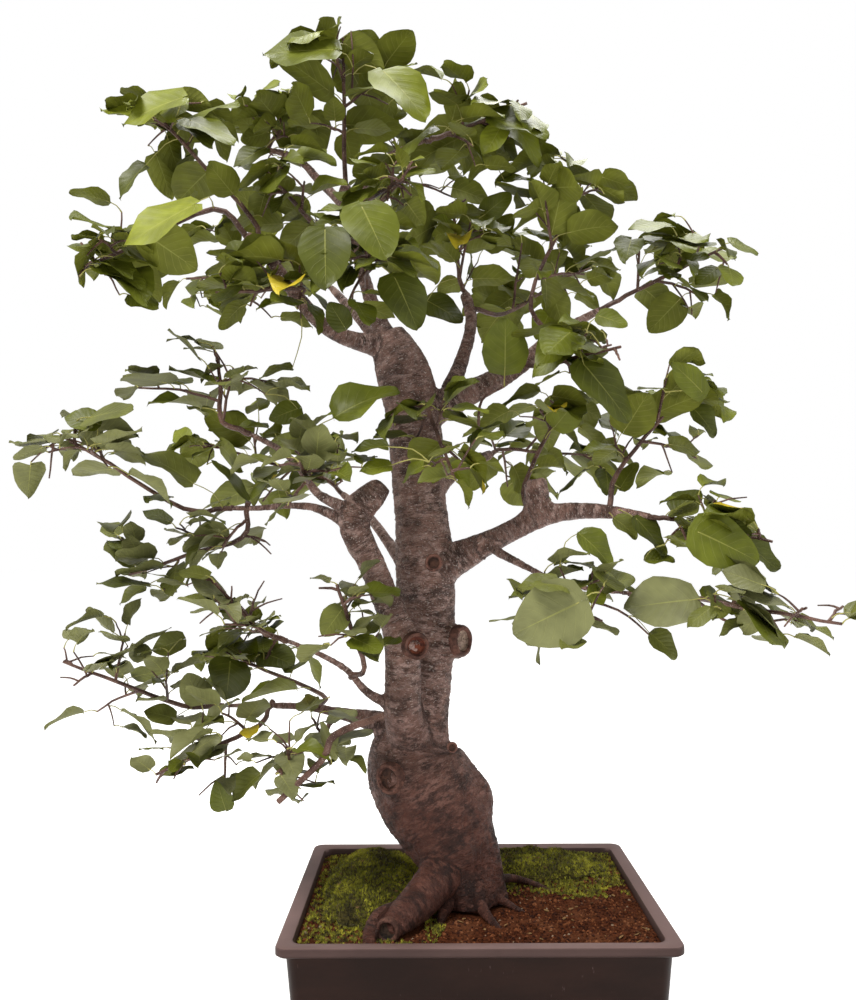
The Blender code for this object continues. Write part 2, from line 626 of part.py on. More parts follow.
def leaves_of(space, number, path, spacing):
    """For each leaf along one path, the frames and lengths it may take, first choice first.

    Leaves are alternate, nod a little and turn their faces up and out.
    """
    length = sum((b - a).length for a, b in zip(path, path[1:]))
    count = max(1, round(length / spacing))
    for k in range(count + 1):
        chance = random.Random(f"{space.name} {number} {k}")
        place = (LEAF_RUN[0] + LEAF_RUN[1] * k / count) * (len(path) - 1)
        low = min(int(place), len(path) - 2)
        root = path[low].lerp(path[low + 1], place - low)
        forward = (path[low + 1] - path[low]).normalized()
        side = forward.cross(UP).normalized()
        swing = 1 if k % 2 else -1
        spread = 0.25 if k == count else 1.0
        outward = Vector((root.x - CROWN_AXIS, root.y, 0)).normalized()
        choices = []
        for choice in range(LEAF_CHOICES):
            way = forward * chance.uniform(0.3, 0.9) + side * swing * spread * chance.uniform(0.6, 1.1)
            way += UP * chance.uniform(-0.8, 0.4)
            lean = Quaternion(UP, chance.uniform(-LEAF_LEAN, LEAF_LEAN)) @ outward
            face = UP + lean * chance.uniform(0.4, 1.5)
            size = LEAF_LENGTH * chance.uniform(*LEAF_SIZES) * (1 - 0.04 * choice)
            choices.append((leaf_frame(root, way, face), size))
            swing = -swing
            spread = 1.0
        yield choices


def clear_of(obstacles, points):
    """Whether no point, nor a line between neighbouring points, is nearer than CLEARANCE."""
    for tree in obstacles:
        for point in points:
            near = tree.find_nearest(point, CLEARANCE)
            if near[0] is not None:
                return False
    return True


def sampled(points):
    """The points and the middles between each two neighbours."""
    return points + [a.lerp(b, 0.5) for a, b in zip(points, points[1:])]


def fits(space, frame, length, taken, obstacles):
    """Whether a leaf keeps to its space, apart from the twigs and leaves before it and off every limb."""
    corners = leaf_corners(frame, length)
    root, left, right, tip = frame[0], corners[3], corners[4], corners[6]
    blade = sampled([left, tip, right, left]) + [root.lerp(left, 0.6), root.lerp(right, 0.6)]
    if not all(space.holds(point) for point in blade) or not clear_of(obstacles, blade):
        return False
    return not any(tree.overlap(flat(frame, length)) for tree in obstacles + taken)


def flat(frame, length):
    """A leaf as one thin sheet, without the end of its root, to test for crossings."""
    corners = leaf_corners(frame, length)
    sheet = [frame[0].lerp(corners[5], 0.12), corners[3], corners[6], corners[4]]
    return BVHTree.FromPolygons(sheet, [(0, 1, 3), (1, 2, 3)])


def build_mass(space, stem, obstacles):
    """One mass: its stem with the shoots and leaves that keep to its space, joined as one solid."""
    body = twig(space.name, stem, STEM_RADIUS)
    pieces = []
    paths = [(0, stem[1:])]
    for number, path in enumerate(shoots_of(space, stem), 1):
        if not all(space.holds(point) for point in path[1:]) or not clear_of(obstacles, sampled(path)):
            continue
        pieces.append(twig("shoot", path, SHOOT_RADIUS))
        paths.append((number, path))
    taken = [tree_of(piece) for piece in [body] + pieces]
    twigs = len(taken)
    for number, path in paths:
        for choices in leaves_of(space, number, path, LEAF_SPACING):
            for frame, length in choices:
                if fits(space, frame, length, taken, obstacles):
                    taken.append(flat(frame, length))
                    pieces.append(leaf("leaf", frame, length))
                    break
    unite(body, pieces)
    finish(body, random.Random(space.name).choice(LEAF_GREENS), 0.5)
    print(f"{space.name}: {len(taken) - twigs} leaves, {twigs - 1} shoots, {len(body.data.polygons)} faces")
    return len(taken) - twigs


def build_foliage(limbs):
    trees = {name: tree_of(limb) for name, limb in limbs.items()}
    stems = {}
    stem_trees = {}
    for space in SPACES:
        stems[space.name] = stem_path(space, trees, stem_trees)
        stem_trees[space.name] = twig_tree(stems[space.name], STEM_RADIUS)
    total = 0
    for space in SPACES:
        others = [tree for name, tree in stem_trees.items() if name != space.name]
        total += build_mass(space, stems[space.name], list(trees.values()) + others)
    print(total, "leaves")


# ---------------------------------------------------------------- pot, soil and moss


def ring(bm, width, depth, corner, height, arc=2):
    """A rounded rectangle of vertices at one height."""
    verts = []
    for k, (sx, sy) in enumerate([(1, 1), (-1, 1), (-1, -1), (1, -1)]):
        for step in range(arc + 1):
            angle = math.radians(90 * (k + step / arc))
            x = sx * (width / 2 - corner) + corner * math.cos(angle)
            y = sy * (depth / 2 - corner) + corner * math.sin(angle)
            verts.append(bm.verts.new((x, y, height)))
    return verts


def skin(name, rings):
    """A closed solid from a run of rounded rectangles, with a flat face over its first and last."""
    bm = bmesh.new()
    loops = [ring(bm, *sizes) for sizes in rings]
    for low, high in zip(loops, loops[1:]):
        for k in range(len(low)):
            bm.faces.new((low[k - 1], low[k], high[k], high[k - 1]))
    bm.faces.new(loops[0])
    bm.faces.new(loops[-1])
    return object_from(bm, name)


def wall_width(height, inset=0.0):
    """Width of the wall's outside at a height, less an inset on both sides; its depth follows."""
    under_rim = POT_HEIGHT - FLANGE_DROP
    lean = POT_TAPER * (1 - min(height, under_rim) / under_rim)
    return POT_WIDTH - 2 * (FLANGE + lean + inset)


def rounded(height, inset):
    width = wall_width(height, inset)
    return (width, width - POT_WIDTH + POT_DEPTH, max(POT_CORNER - inset, 0.004), height)


def build_pot():
    under_rim = POT_HEIGHT - FLANGE_DROP
    flange = (POT_WIDTH, POT_DEPTH, POT_CORNER)
    lip = (POT_WIDTH - 0.003, POT_DEPTH - 0.003, POT_CORNER)
    rings = [
        rounded(0.0, 0.002),
        rounded(0.003, 0.0),
        rounded(under_rim - 0.002, 0.0),
        (*lip, under_rim),
        (*flange, under_rim + 0.0015),
        (*flange, POT_HEIGHT - 0.0015),
        (*lip, POT_HEIGHT),
        rounded(POT_HEIGHT, POT_WALL - 0.0015),
        rounded(POT_HEIGHT - 0.002, POT_WALL),
        rounded(under_rim, POT_WALL),
        rounded(POT_FLOOR, POT_WALL),
    ]
    pot = skin("pot", rings)
    for sx in (-1, 1):
        for sy in (-1, 1):
            drain = stub("drain", (sx * DRAIN_SPACING[0], sy * DRAIN_SPACING[1], -0.01),
                         (sx * DRAIN_SPACING[0], sy * DRAIN_SPACING[1], 0.02), DRAIN_RADIUS)
            hole = pot.modifiers.new("drain", "BOOLEAN")
            hole.operation = "DIFFERENCE"
            hole.object = drain
            apply_modifiers(pot)
            remove([drain])
    finish(pot, PLASTIC, 0.45)


def build_soil():
    inset = POT_WALL + GAP
    top = wall_width(SOIL_EDGE, inset)
    shoulder = (top - 2 * SOIL_SHOULDER, top - 2 * SOIL_SHOULDER - POT_WIDTH + POT_DEPTH, 0.03, SOIL_TOP)
    soil = skin("soil", [rounded(POT_FLOOR + GAP, inset), rounded(SOIL_EDGE, inset), shoulder])
    finish(soil, SOIL_BROWN, 1.0)


def build_moss(name, centre, sizes, trunk):
    """A low cushion of moss that lies on the soil, cut clear of the trunk's foot."""
    cushion = ball(name, (*centre, SOIL_TOP), sizes)
    cut_level(cushion, SOIL_TOP + GAP)
    if tree_of(cushion).overlap(tree_of(trunk)):
        cut_clear(cushion, trunk)
    finish(cushion, MOSS_GREEN, 1.0)


TREE = start_scene()
CUTTERS = bpy.data.collections.new("cutters")
bpy.context.scene.collection.children.link(CUTTERS)
SPACES = [Space(name) for name in MASSES]
LIMBS = build_limbs()
build_foliage(LIMBS)
build_pot()
build_soil()
build_moss("moss_left", (-0.116, 0.010), (0.061, 0.116, 0.031), LIMBS["trunk"])
build_moss("moss_right", (0.085, 0.078), (0.090, 0.046, 0.020), LIMBS["trunk"])
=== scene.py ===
"""Looks of the alder bonsai: bark, foliage, pot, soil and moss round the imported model.

Metres, +Z up, in the model's own frame. The foliage grows by the same rule as the model's, from
the same limbs and inside the same spaces, and is carried on to finer twigs and real leaves.
"""

import json
import math
import random

import bmesh
import bpy
import numpy as np
from mathutils import Matrix, Quaternion, Vector, noise
from mathutils.bvhtree import BVHTree
from mathutils.kdtree import KDTree

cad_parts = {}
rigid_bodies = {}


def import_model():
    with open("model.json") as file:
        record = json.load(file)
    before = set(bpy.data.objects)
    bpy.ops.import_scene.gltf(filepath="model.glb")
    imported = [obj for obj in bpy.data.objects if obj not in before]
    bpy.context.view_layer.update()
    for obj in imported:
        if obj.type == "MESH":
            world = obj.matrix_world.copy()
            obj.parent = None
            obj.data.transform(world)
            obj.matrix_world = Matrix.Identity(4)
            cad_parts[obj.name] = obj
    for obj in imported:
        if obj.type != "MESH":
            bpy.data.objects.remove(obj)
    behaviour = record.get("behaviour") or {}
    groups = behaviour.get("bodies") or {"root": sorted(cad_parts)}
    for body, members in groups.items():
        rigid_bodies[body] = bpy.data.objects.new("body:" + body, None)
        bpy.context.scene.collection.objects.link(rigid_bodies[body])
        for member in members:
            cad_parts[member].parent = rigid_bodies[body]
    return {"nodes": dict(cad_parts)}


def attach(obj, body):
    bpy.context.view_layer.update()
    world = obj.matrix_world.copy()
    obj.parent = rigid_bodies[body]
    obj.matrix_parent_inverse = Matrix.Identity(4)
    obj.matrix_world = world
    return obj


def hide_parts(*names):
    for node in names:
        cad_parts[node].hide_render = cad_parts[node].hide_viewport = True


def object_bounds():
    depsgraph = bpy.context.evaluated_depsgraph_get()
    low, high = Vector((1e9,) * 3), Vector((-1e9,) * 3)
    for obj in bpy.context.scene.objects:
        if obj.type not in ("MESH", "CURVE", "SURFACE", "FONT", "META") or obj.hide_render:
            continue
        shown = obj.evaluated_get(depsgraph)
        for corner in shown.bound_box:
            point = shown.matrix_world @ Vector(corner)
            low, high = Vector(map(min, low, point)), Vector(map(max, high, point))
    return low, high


for startup in list(bpy.data.objects):
    bpy.data.objects.remove(startup, do_unlink=True)
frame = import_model()
CAD_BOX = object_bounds()

UP = Vector((0, 0, 1))
GOLDEN_ANGLE = math.radians(137.5)

# ---------------------------------------------------------------- camera and light

CAMERA_AT = (-0.0478, -1.0278, 0.5288)
CAMERA_PITCH = 3.68
CAMERA_YAW = 0.12
CAMERA_ROLL = -0.26
CAMERA_LENS = 30.78
AMBIENT = 0.54
BACKDROP = 1.0

# name: place, aim, width of the light's square, power, colour
LIGHTS = {
    "key": ((-1.3, -1.1, 2.5), (0, 0, 0.6), 1.1, 76, (1.0, 0.975, 0.94)),
    "fill": ((1.9, -1.6, 0.9), (0, 0, 0.6), 1.8, 11, (0.97, 0.98, 1.0)),
    "top": ((0.3, 0.6, 2.7), (0, 0, 0.6), 1.5, 56, (1.0, 0.99, 0.97)),
}

# ---------------------------------------------------------------- sizes of the model

POT_WIDTH = 0.410
POT_DEPTH = 0.310
POT_HEIGHT = 0.140
POT_CORNER = 0.012
FLANGE = 0.0085
FLANGE_DROP = 0.010
POT_TAPER = 0.0115
POT_WALL = 0.0080
POT_FLOOR = 0.005
DRAIN_RADIUS = 0.008
DRAIN_SPACING = (0.11, 0.075)
SOIL_EDGE = 0.131
SOIL_TOP = 0.134
GAP = 0.0003

TRUNK = [
    (-0.005, -0.032, 0.115, 0.036),
    (-0.009, -0.028, 0.150, 0.037),
    (-0.016, -0.020, 0.175, 0.045),
    (-0.030, -0.010, 0.212, 0.057),
    (-0.053, 0.000, 0.254, 0.065),
    (-0.071, 0.006, 0.292, 0.056),
    (-0.062, 0.012, 0.338, 0.038),
    (-0.054, 0.014, 0.420, 0.035),
    (-0.053, 0.012, 0.500, 0.037),
    (-0.060, 0.008, 0.600, 0.033),
    (-0.068, 0.004, 0.700, 0.0345),
    (-0.078, 0.002, 0.745, 0.035),
    (-0.090, 0.000, 0.778, 0.029),
    (-0.099, -0.002, 0.800, 0.021),
]
SURFACE_ROOT = [
    (-0.018, -0.026, 0.185, 0.026),
    (-0.044, -0.060, 0.170, 0.023),
    (-0.068, -0.085, 0.152, 0.021),
    (-0.086, -0.106, 0.141, 0.0175),
    (-0.092, -0.114, 0.136, 0.015),
]
SECOND_STEM = [
    (-0.062, -0.004, 0.290, 0.030),
    (-0.079, -0.034, 0.345, 0.0235),
    (-0.079, -0.042, 0.400, 0.0215),
    (-0.081, -0.044, 0.432, 0.021),
    (-0.096, -0.046, 0.472, 0.0165),
    (-0.115, -0.050, 0.520, 0.016),
    (-0.133, -0.054, 0.557, 0.0185),
    (-0.131, -0.054, 0.580, 0.019),
    (-0.116, -0.052, 0.594, 0.0175),
    (-0.101, -0.050, 0.611, 0.0125),
]

# Each bough: the limb that carries it, then its stations.
BOUGHS = {
    "bough_low_right": ("trunk", [(-0.045, 0.010, 0.512, 0.032), (0.000, 0.000, 0.532, 0.0205),
                                  (0.035, -0.010, 0.550, 0.0155), (0.070, -0.022, 0.567, 0.0145),
                                  (0.104, -0.034, 0.578, 0.013), (0.150, -0.050, 0.578, 0.010),
                                  (0.205, -0.066, 0.570, 0.0052)]),
    "bough_up_right": ("trunk", [(-0.060, 0.006, 0.700, 0.029), (-0.009, 0.010, 0.722, 0.0195),
                                 (0.043, 0.016, 0.749, 0.0155), (0.075, 0.020, 0.770, 0.0117),
                                 (0.102, 0.022, 0.798, 0.0086), (0.172, 0.026, 0.837, 0.0055)]),
    "bough_riser": ("bough_up_right", [(-0.026, 0.016, 0.722, 0.014), (-0.003, 0.034, 0.783, 0.0100),
                                       (0.007, 0.050, 0.831, 0.0088), (-0.002, 0.062, 0.869, 0.0090)]),
    "bough_top_left": ("trunk", [(-0.094, 0.000, 0.782, 0.020), (-0.137, -0.022, 0.784, 0.0120),
                                 (-0.173, -0.045, 0.797, 0.0105), (-0.207, -0.066, 0.837, 0.0096),
                                 (-0.232, -0.082, 0.870, 0.0078), (-0.253, -0.095, 0.886, 0.0098)]),
    "bough_apex": ("trunk", [(-0.098, -0.002, 0.785, 0.0165), (-0.116, 0.004, 0.832, 0.0108),
                             (-0.130, 0.008, 0.878, 0.0092), (-0.140, 0.010, 0.924, 0.0092),
                             (-0.150, 0.010, 0.968, 0.0122), (-0.151, 0.009, 0.992, 0.0070)]),
    "bough_apex_left": ("bough_apex", [(-0.147, 0.010, 0.958, 0.0080), (-0.188, 0.030, 1.005, 0.0066),
                                       (-0.216, 0.045, 1.041, 0.0056), (-0.251, 0.060, 1.058, 0.0050)]),
    "bough_apex_right": ("bough_apex", [(-0.147, 0.008, 0.955, 0.0075), (-0.112, -0.004, 1.005, 0.0055),
                                        (-0.082, -0.012, 1.024, 0.0044), (-0.040, -0.019, 1.034, 0.0036)]),
    "bough_low_left": ("trunk", [(-0.075, -0.002, 0.318, 0.024), (-0.118, -0.004, 0.334, 0.0150),
                                 (-0.160, -0.001, 0.343, 0.0085), (-0.205, 0.006, 0.350, 0.0062),
                                 (-0.309, 0.020, 0.348, 0.0043)]),
    "bough_low_left_up": ("second_stem", [(-0.084, -0.034, 0.352, 0.0095), (-0.122, -0.045, 0.374, 0.0057),
                                          (-0.141, -0.050, 0.399, 0.0048), (-0.181, -0.050, 0.421, 0.0040),
                                          (-0.222, -0.046, 0.436, 0.0034)]),
    "bough_mid_left": ("second_stem", [(-0.131, -0.055, 0.578, 0.0105), (-0.173, -0.070, 0.596, 0.0062),
                                       (-0.191, -0.079, 0.624, 0.0052), (-0.217, -0.085, 0.649, 0.0046),
                                       (-0.257, -0.090, 0.668, 0.0036)]),
    "bough_mid_left_low": ("second_stem", [(-0.132, -0.054, 0.560, 0.0105), (-0.184, -0.046, 0.586, 0.0057),
                                           (-0.241, -0.040, 0.584, 0.0046), (-0.288, -0.036, 0.584, 0.0036)]),
    "bough_right_under": ("bough_low_right", [(0.018, -0.008, 0.540, 0.0080), (0.063, -0.056, 0.514, 0.0048),
                                              (0.090, -0.083, 0.500, 0.0042), (0.130, -0.105, 0.490, 0.0036),
                                              (0.174, -0.120, 0.487, 0.0030)]),
    "bough_back_right": ("trunk", [(-0.057, 0.010, 0.585, 0.020), (-0.027, 0.070, 0.625, 0.0108),
                                   (0.007, 0.130, 0.653, 0.0090), (0.041, 0.180, 0.672, 0.0080)]),
    "bough_back_left": ("trunk", [(-0.056, 0.012, 0.470, 0.018), (-0.087, 0.080, 0.523, 0.0096),
                                  (-0.127, 0.140, 0.577, 0.0078), (-0.176, 0.190, 0.619, 0.0064)]),
    "bough_back_high": ("trunk", [(-0.084, 0.000, 0.738, 0.018), (-0.111, 0.060, 0.799, 0.0096),
                                  (-0.153, 0.120, 0.863, 0.0078), (-0.188, 0.165, 0.910, 0.0062)]),
}

# Each mass of foliage: the limb that carries its stem, how far along that limb the stem starts,
# then the centre and the half sizes of the egg-shaped space that the mass keeps to.
MASSES = {
    "leaves_apex_leader": ("bough_apex", 1.00, (-0.152, -0.004, 1.112), (0.110, 0.085, 0.085)),
    "leaves_apex_right": ("bough_apex_right", 1.00, (0.005, -0.030, 1.045), (0.105, 0.080, 0.075)),
    "leaves_apex_front": ("bough_apex", 0.70, (-0.095, -0.080, 0.945), (0.055, 0.060, 0.060)),
    "leaves_apex_left": ("bough_apex_left", 1.00, (-0.240, 0.050, 1.080), (0.075, 0.080, 0.080)),
    "leaves_upper_left_high": ("bough_top_left", 0.90, (-0.325, -0.060, 1.000), (0.090, 0.085, 0.080)),
    "leaves_upper_left_far": ("bough_top_left", 1.00, (-0.370, -0.120, 0.865), (0.085, 0.080, 0.075)),
    "leaves_upper_left_mid": ("bough_apex", 0.55, (-0.215, -0.045, 0.955), (0.075, 0.070, 0.065)),
    "leaves_upper_left_low": ("bough_top_left", 0.55, (-0.230, -0.090, 0.825), (0.080, 0.070, 0.065)),
    "leaves_centre_front": ("bough_apex", 0.30, (-0.115, -0.100, 0.850), (0.080, 0.070, 0.080)),
    "leaves_upper_mid": ("bough_riser", 1.00, (-0.012, 0.052, 0.932), (0.085, 0.080, 0.075)),
    "leaves_upper_right_high": ("bough_up_right", 0.80, (0.120, 0.010, 0.940), (0.090, 0.090, 0.105)),
    "leaves_upper_right_far": ("bough_up_right", 1.00, (0.250, -0.010, 0.870), (0.090, 0.085, 0.080)),
    "leaves_upper_right_low": ("bough_up_right", 0.55, (0.125, -0.060, 0.755), (0.090, 0.070, 0.045)),
    "leaves_mid_right_high": ("bough_low_right", 0.85, (0.225, -0.005, 0.685), (0.105, 0.080, 0.100)),
    "leaves_mid_right_inner": ("bough_low_right", 0.50, (0.100, 0.030, 0.680), (0.090, 0.075, 0.065)),
    "leaves_mid_right_far": ("bough_low_right", 1.00, (0.265, -0.100, 0.555), (0.085, 0.080, 0.065)),
    "leaves_low_right_far": ("bough_right_under", 1.00, (0.285, -0.160, 0.472), (0.120, 0.080, 0.058)),
    "leaves_low_right_inner": ("bough_right_under", 0.55, (0.090, -0.165, 0.480), (0.080, 0.075, 0.065)),
    "leaves_mid_left_high": ("bough_mid_left", 1.00, (-0.285, -0.070, 0.720), (0.125, 0.090, 0.060)),
    "leaves_mid_left_far": ("bough_mid_left_low", 1.00, (-0.400, -0.090, 0.630), (0.100, 0.090, 0.065)),
    "leaves_mid_left_low": ("bough_mid_left_low", 0.80, (-0.335, -0.010, 0.530), (0.125, 0.085, 0.075)),
    "leaves_mid_left_inner": ("bough_mid_left", 0.40, (-0.180, -0.130, 0.615), (0.090, 0.070, 0.065)),
    "leaves_mid_front": ("trunk", 0.78, (-0.035, -0.095, 0.650), (0.075, 0.065, 0.075)),
    "leaves_low_left_high": ("bough_low_left_up", 1.00, (-0.260, -0.070, 0.470), (0.100, 0.080, 0.055)),
    "leaves_low_left_up": ("bough_low_left_up", 0.45, (-0.135, -0.110, 0.460), (0.060, 0.060, 0.070)),
    "leaves_low_left_far": ("bough_low_left", 1.00, (-0.420, 0.000, 0.380), (0.095, 0.090, 0.100)),
    "leaves_low_left_mid": ("bough_low_left", 0.85, (-0.300, -0.045, 0.310), (0.090, 0.075, 0.085)),
    "leaves_low_left_inner": ("bough_low_left", 0.50, (-0.190, -0.080, 0.315), (0.075, 0.065, 0.065)),
    "leaves_back_top": ("bough_apex", 0.85, (-0.088, 0.142, 1.050), (0.120, 0.090, 0.120)),
    "leaves_back_high_left": ("bough_back_high", 1.00, (-0.300, 0.180, 0.930), (0.135, 0.105, 0.110)),
    "leaves_back_high_right": ("bough_riser", 0.80, (0.110, 0.170, 0.900), (0.120, 0.100, 0.115)),
    "leaves_back_right": ("bough_back_right", 1.00, (0.120, 0.230, 0.680), (0.135, 0.105, 0.095)),
    "leaves_back_left": ("bough_back_left", 1.00, (-0.285, 0.205, 0.665), (0.135, 0.105, 0.090)),
    "leaves_back_low_left": ("bough_low_left", 0.65, (-0.270, 0.135, 0.375), (0.115, 0.085, 0.085)),
}


# How foliage grows: the model's own values first, then what is carried on from them.
SPACE_MARGIN = 0.04
CLEARANCE = 0.0015
STEM_RADIUS = (0.0037, 0.0027)
WIDEST_LIMB = 0.08
STEM_TURNS = (0, 25, -25, 50, -50, 75, -75, 100, -100, 140, -140, 180)
STEM_KNEE = 0.35
STEM_REACH = 0.72
SHOOTS = 5
SHOOT_REACH = 0.125
SHORTEST_SHOOT = 0.022
BORDER_STEP = 0.004
SHOOT_RADIUS = (0.0020, 0.0012)
TWIGLET_RADIUS = (0.0013, 0.0008)
TWIGLETS = 2
TWIGLET_REACH = 0.060
LEAF_RUN = (0.12, 0.88)
LEAF_LENGTH = 0.057  # the blade alone
LEAF_SIZES = (0.60, 1.28)
LEAF_WIDTH = 0.84  # of its length
STALK = (0.30, 0.46)  # a leaf's stalk, as a share of its blade
STALK_RADIUS = 0.00062
LEAF_EASE = 0.13  # a leaf may reach this far over the border of its mass's space
LEAF_LEAN = 1.7
LEAF_CHOICES = 9
CROWN_AXIS = -0.06
BOX_EASE = 0.004
STEM_SEAT = 0.012  # a stem starts this deep inside its limb
STEM_FINE = 0.0012  # and is this much finer at its end
MOST_LEAVES = 4000
LEAF_NEAR = 0.1  # leaves further apart than this are not tested against each other

# How large a mass's leaves are by the part of the crown it is in: the shaded lower boughs have small ones.
LEAF_SCALE = {
    "leaves_apex": 1.12,
    "leaves_upper": 1.05,
    "leaves_mid_left": 0.84,
    "leaves_low_left": 0.78,
}
# Openings in the crown, seen from the front: place across and height at OPEN_PLANE, then radius.
# Leaves keep out of them, but for a little at the edge.
OPEN_PLANE = -0.05
OPENING_EASE = 0.003
OPENINGS = [
    (-0.233, 0.515, 0.037), (0.400, 0.494, 0.042), (0.154, 1.011, 0.036), (-0.119, 1.184, 0.035),
    (0.336, 0.627, 0.049), (0.071, 1.114, 0.051), (0.196, 0.753, 0.034), (-0.518, 0.942, 0.051),
    (-0.406, 1.009, 0.023), (-0.495, 0.394, 0.046), (-0.043, 1.124, 0.027), (0.375, 0.549, 0.048),
    (-0.476, 0.589, 0.022), (-0.364, 0.456, 0.017), (-0.043, 0.963, 0.017), (-0.374, 0.247, 0.046),
    (0.293, 0.409, 0.035), (-0.187, 0.478, 0.023), (-0.381, 0.941, 0.015), (-0.275, 1.091, 0.021),
    (-0.374, 0.765, 0.026), (-0.368, 1.014, 0.013), (0.241, 0.701, 0.014), (-0.449, 0.803, 0.044),
    (-0.001, 0.953, 0.014), (-0.459, 0.407, 0.026), (-0.249, 0.774, 0.024), (-0.269, 0.506, 0.024),
    (-0.332, 0.456, 0.015), (0.080, 0.707, 0.012), (0.159, 0.463, 0.012), (-0.493, 0.686, 0.018),
    (-0.418, 1.121, 0.049), (-0.191, 0.442, 0.013), (0.169, 0.762, 0.019), (-0.511, 0.861, 0.046),
    (-0.487, 0.644, 0.013), (0.246, 0.513, 0.014), (0.113, 1.089, 0.051), (-0.430, 0.363, 0.017),
    (-0.312, 0.260, 0.017), (-0.176, 1.189, 0.024), (0.350, 0.480, 0.013), (0.334, 0.729, 0.044),
    (-0.207, 0.778, 0.023), (0.033, 1.148, 0.051),
]
# Distance between leaves along a twig.
LEAF_GAPS = {
    "leaves_apex": 0.030,
    "leaves_upper": 0.036,
    "leaves_centre": 0.036,
    "leaves_mid_left": 0.046,
    "leaves_low_left": 0.056,
    "leaves_low_right": 0.050,
    "leaves_mid": 0.046,
    "leaves_back": 0.036,
}
# How far leaves tilt outwards, and how far their tips droop.
LEAF_TILTS = {
    "leaves_apex": ((0.25, 1.4), (-1.0, 0.1)),
    "leaves_upper": ((0.15, 1.3), (-0.9, 0.1)),
    "leaves_centre": ((0.15, 1.3), (-0.9, 0.1)),
    "leaves_mid_left": ((0.0, 0.8), (-0.5, 0.25)),
    "leaves_low_left": ((0.0, 0.65), (-0.45, 0.25)),
    "leaves_mid": ((0.1, 1.2), (-0.8, 0.1)),
    "leaves_low_right": ((0.1, 1.0), (-0.6, 0.1)),
    "leaves_back": ((0.1, 1.1), (-0.8, 0.1)),
}
# The greens that each part of the crown has, as names of leaf finishes: the brightest green high up is
# painted sunlight, the grey one low down painted sheen.
LEAF_FINISHES = {
    "leaves_apex": ["leaf_bright", "leaf_fresh", "leaf_green", "leaf_deep"],
    "leaves_upper": ["leaf_fresh", "leaf_green", "leaf_green", "leaf_deep"],
    "leaves_centre": ["leaf_green", "leaf_deep"],
    "leaves_mid_left": ["leaf_green", "leaf_dull", "leaf_grey"],
    "leaves_low_left": ["leaf_dull", "leaf_grey", "leaf_green"],
    "leaves_low_right": ["leaf_green", "leaf_dull", "leaf_grey"],
    "leaves_mid": ["leaf_green", "leaf_fresh", "leaf_deep", "leaf_dull"],
    "leaves_back": ["leaf_green", "leaf_deep", "leaf_fresh"],
}
YELLOW_LEAVES = 0.008  # share of leaves that have turned

# Finishes: colour in linear light, roughness.
LEAF_COLOURS = {
    # The brightest yellow-green stands in for sun shining on and through the high leaves: painted light.
    "leaf_bright": (0.172, 0.192, 0.012),
    "leaf_fresh": (0.132, 0.150, 0.010),
    "leaf_green": (0.092, 0.106, 0.008),
    "leaf_deep": (0.058, 0.067, 0.006),
    "leaf_dull": (0.112, 0.121, 0.022),
    # The grey-green stands in for the sheen on the lower leaves: painted sheen.
    "leaf_grey": (0.148, 0.152, 0.060),
    "leaf_yellow": (0.450, 0.350, 0.020),
}
# Undersides: a warm green, painted light coming through the leaves high in the crown, and a greyer green,
# painted sheen, below.
UNDERSIDES = {"underside_warm": (0.118, 0.128, 0.012), "underside_grey": (0.140, 0.144, 0.048)}
SHEEN_BELOW = ("leaves_low", "leaves_mid_left")
VEIN = (0.300, 0.300, 0.075)
STALK_COLOUR = (0.300, 0.280, 0.080)
TWIG_COLOURS = ((0.050, 0.024, 0.018), (0.130, 0.070, 0.052))


# ---------------------------------------------------------------- node tools


def feed(tree, socket, value):
    """Joins another socket to an input, or sets the input to a plain value."""
    if isinstance(value, bpy.types.NodeSocket):
        tree.links.new(value, socket)
    else:
        socket.default_value = value


def node(tree, kind, links=None, **settings):
    """A shader node with its settings, and its inputs set from values or joined to sockets."""
    made = tree.nodes.new(kind)
    for key, value in settings.items():
        setattr(made, key, value)
    for key, value in (links or {}).items():
        feed(tree, made.inputs[key], value)
    return made


def mix(tree, share, first, second, blend="MIX"):
    """Colour between two colours."""
    made = node(tree, "ShaderNodeMix", data_type="RGBA", blend_type=blend)
    for index, value in ((0, share), (6, first), (7, second)):
        plain = isinstance(value, tuple) and len(value) == 3
        feed(tree, made.inputs[index], (*value, 1) if plain else value)
    return made.outputs[2]


def scaled(colour, share):
    """A plain colour made lighter or darker."""
    return tuple(share * c for c in colour)


def times(tree, colour, share):
    """A colour made lighter or darker by a value that changes over the surface."""
    grey = node(tree, "ShaderNodeCombineColor", {0: share, 1: share, 2: share}).outputs[0]
    return mix(tree, 1.0, colour, grey, "MULTIPLY")


def maths(tree, operation, *values, clamp=False):
    made = node(tree, "ShaderNodeMath", dict(enumerate(values)), operation=operation)
    made.use_clamp = clamp
    return made.outputs[0]


def ramp(tree, value, low, high):
    """0 up to low, 1 from high on, and smooth between."""
    made = node(tree, "ShaderNodeMapRange", {"Value": value, "From Min": low, "From Max": high},
                interpolation_type="SMOOTHSTEP")
    return made.outputs[0]


def speckle(tree, vector, scale, detail=3.0, rough=0.55):
    """Noise of a size, from 0 to 1."""
    made = node(tree, "ShaderNodeTexNoise",
                {"Vector": vector, "Scale": scale, "Detail": detail, "Roughness": rough})
    return made.outputs[0]


def stretched(tree, vector, scale):
    made = node(tree, "ShaderNodeMapping", {"Vector": vector, "Scale": scale})
    return made.outputs[0]


def new_group(name, inputs, outputs):
    """A shader node group with named sockets, and its ends."""
    group = bpy.data.node_groups.new(name, "ShaderNodeTree")
    for socket, kind in inputs.items():
        group.interface.new_socket(name=socket, in_out="INPUT", socket_type=kind)
    for socket, kind in outputs.items():
        group.interface.new_socket(name=socket, in_out="OUTPUT", socket_type=kind)
    return group, group.nodes.new("NodeGroupInput").outputs, group.nodes.new("NodeGroupOutput").inputs


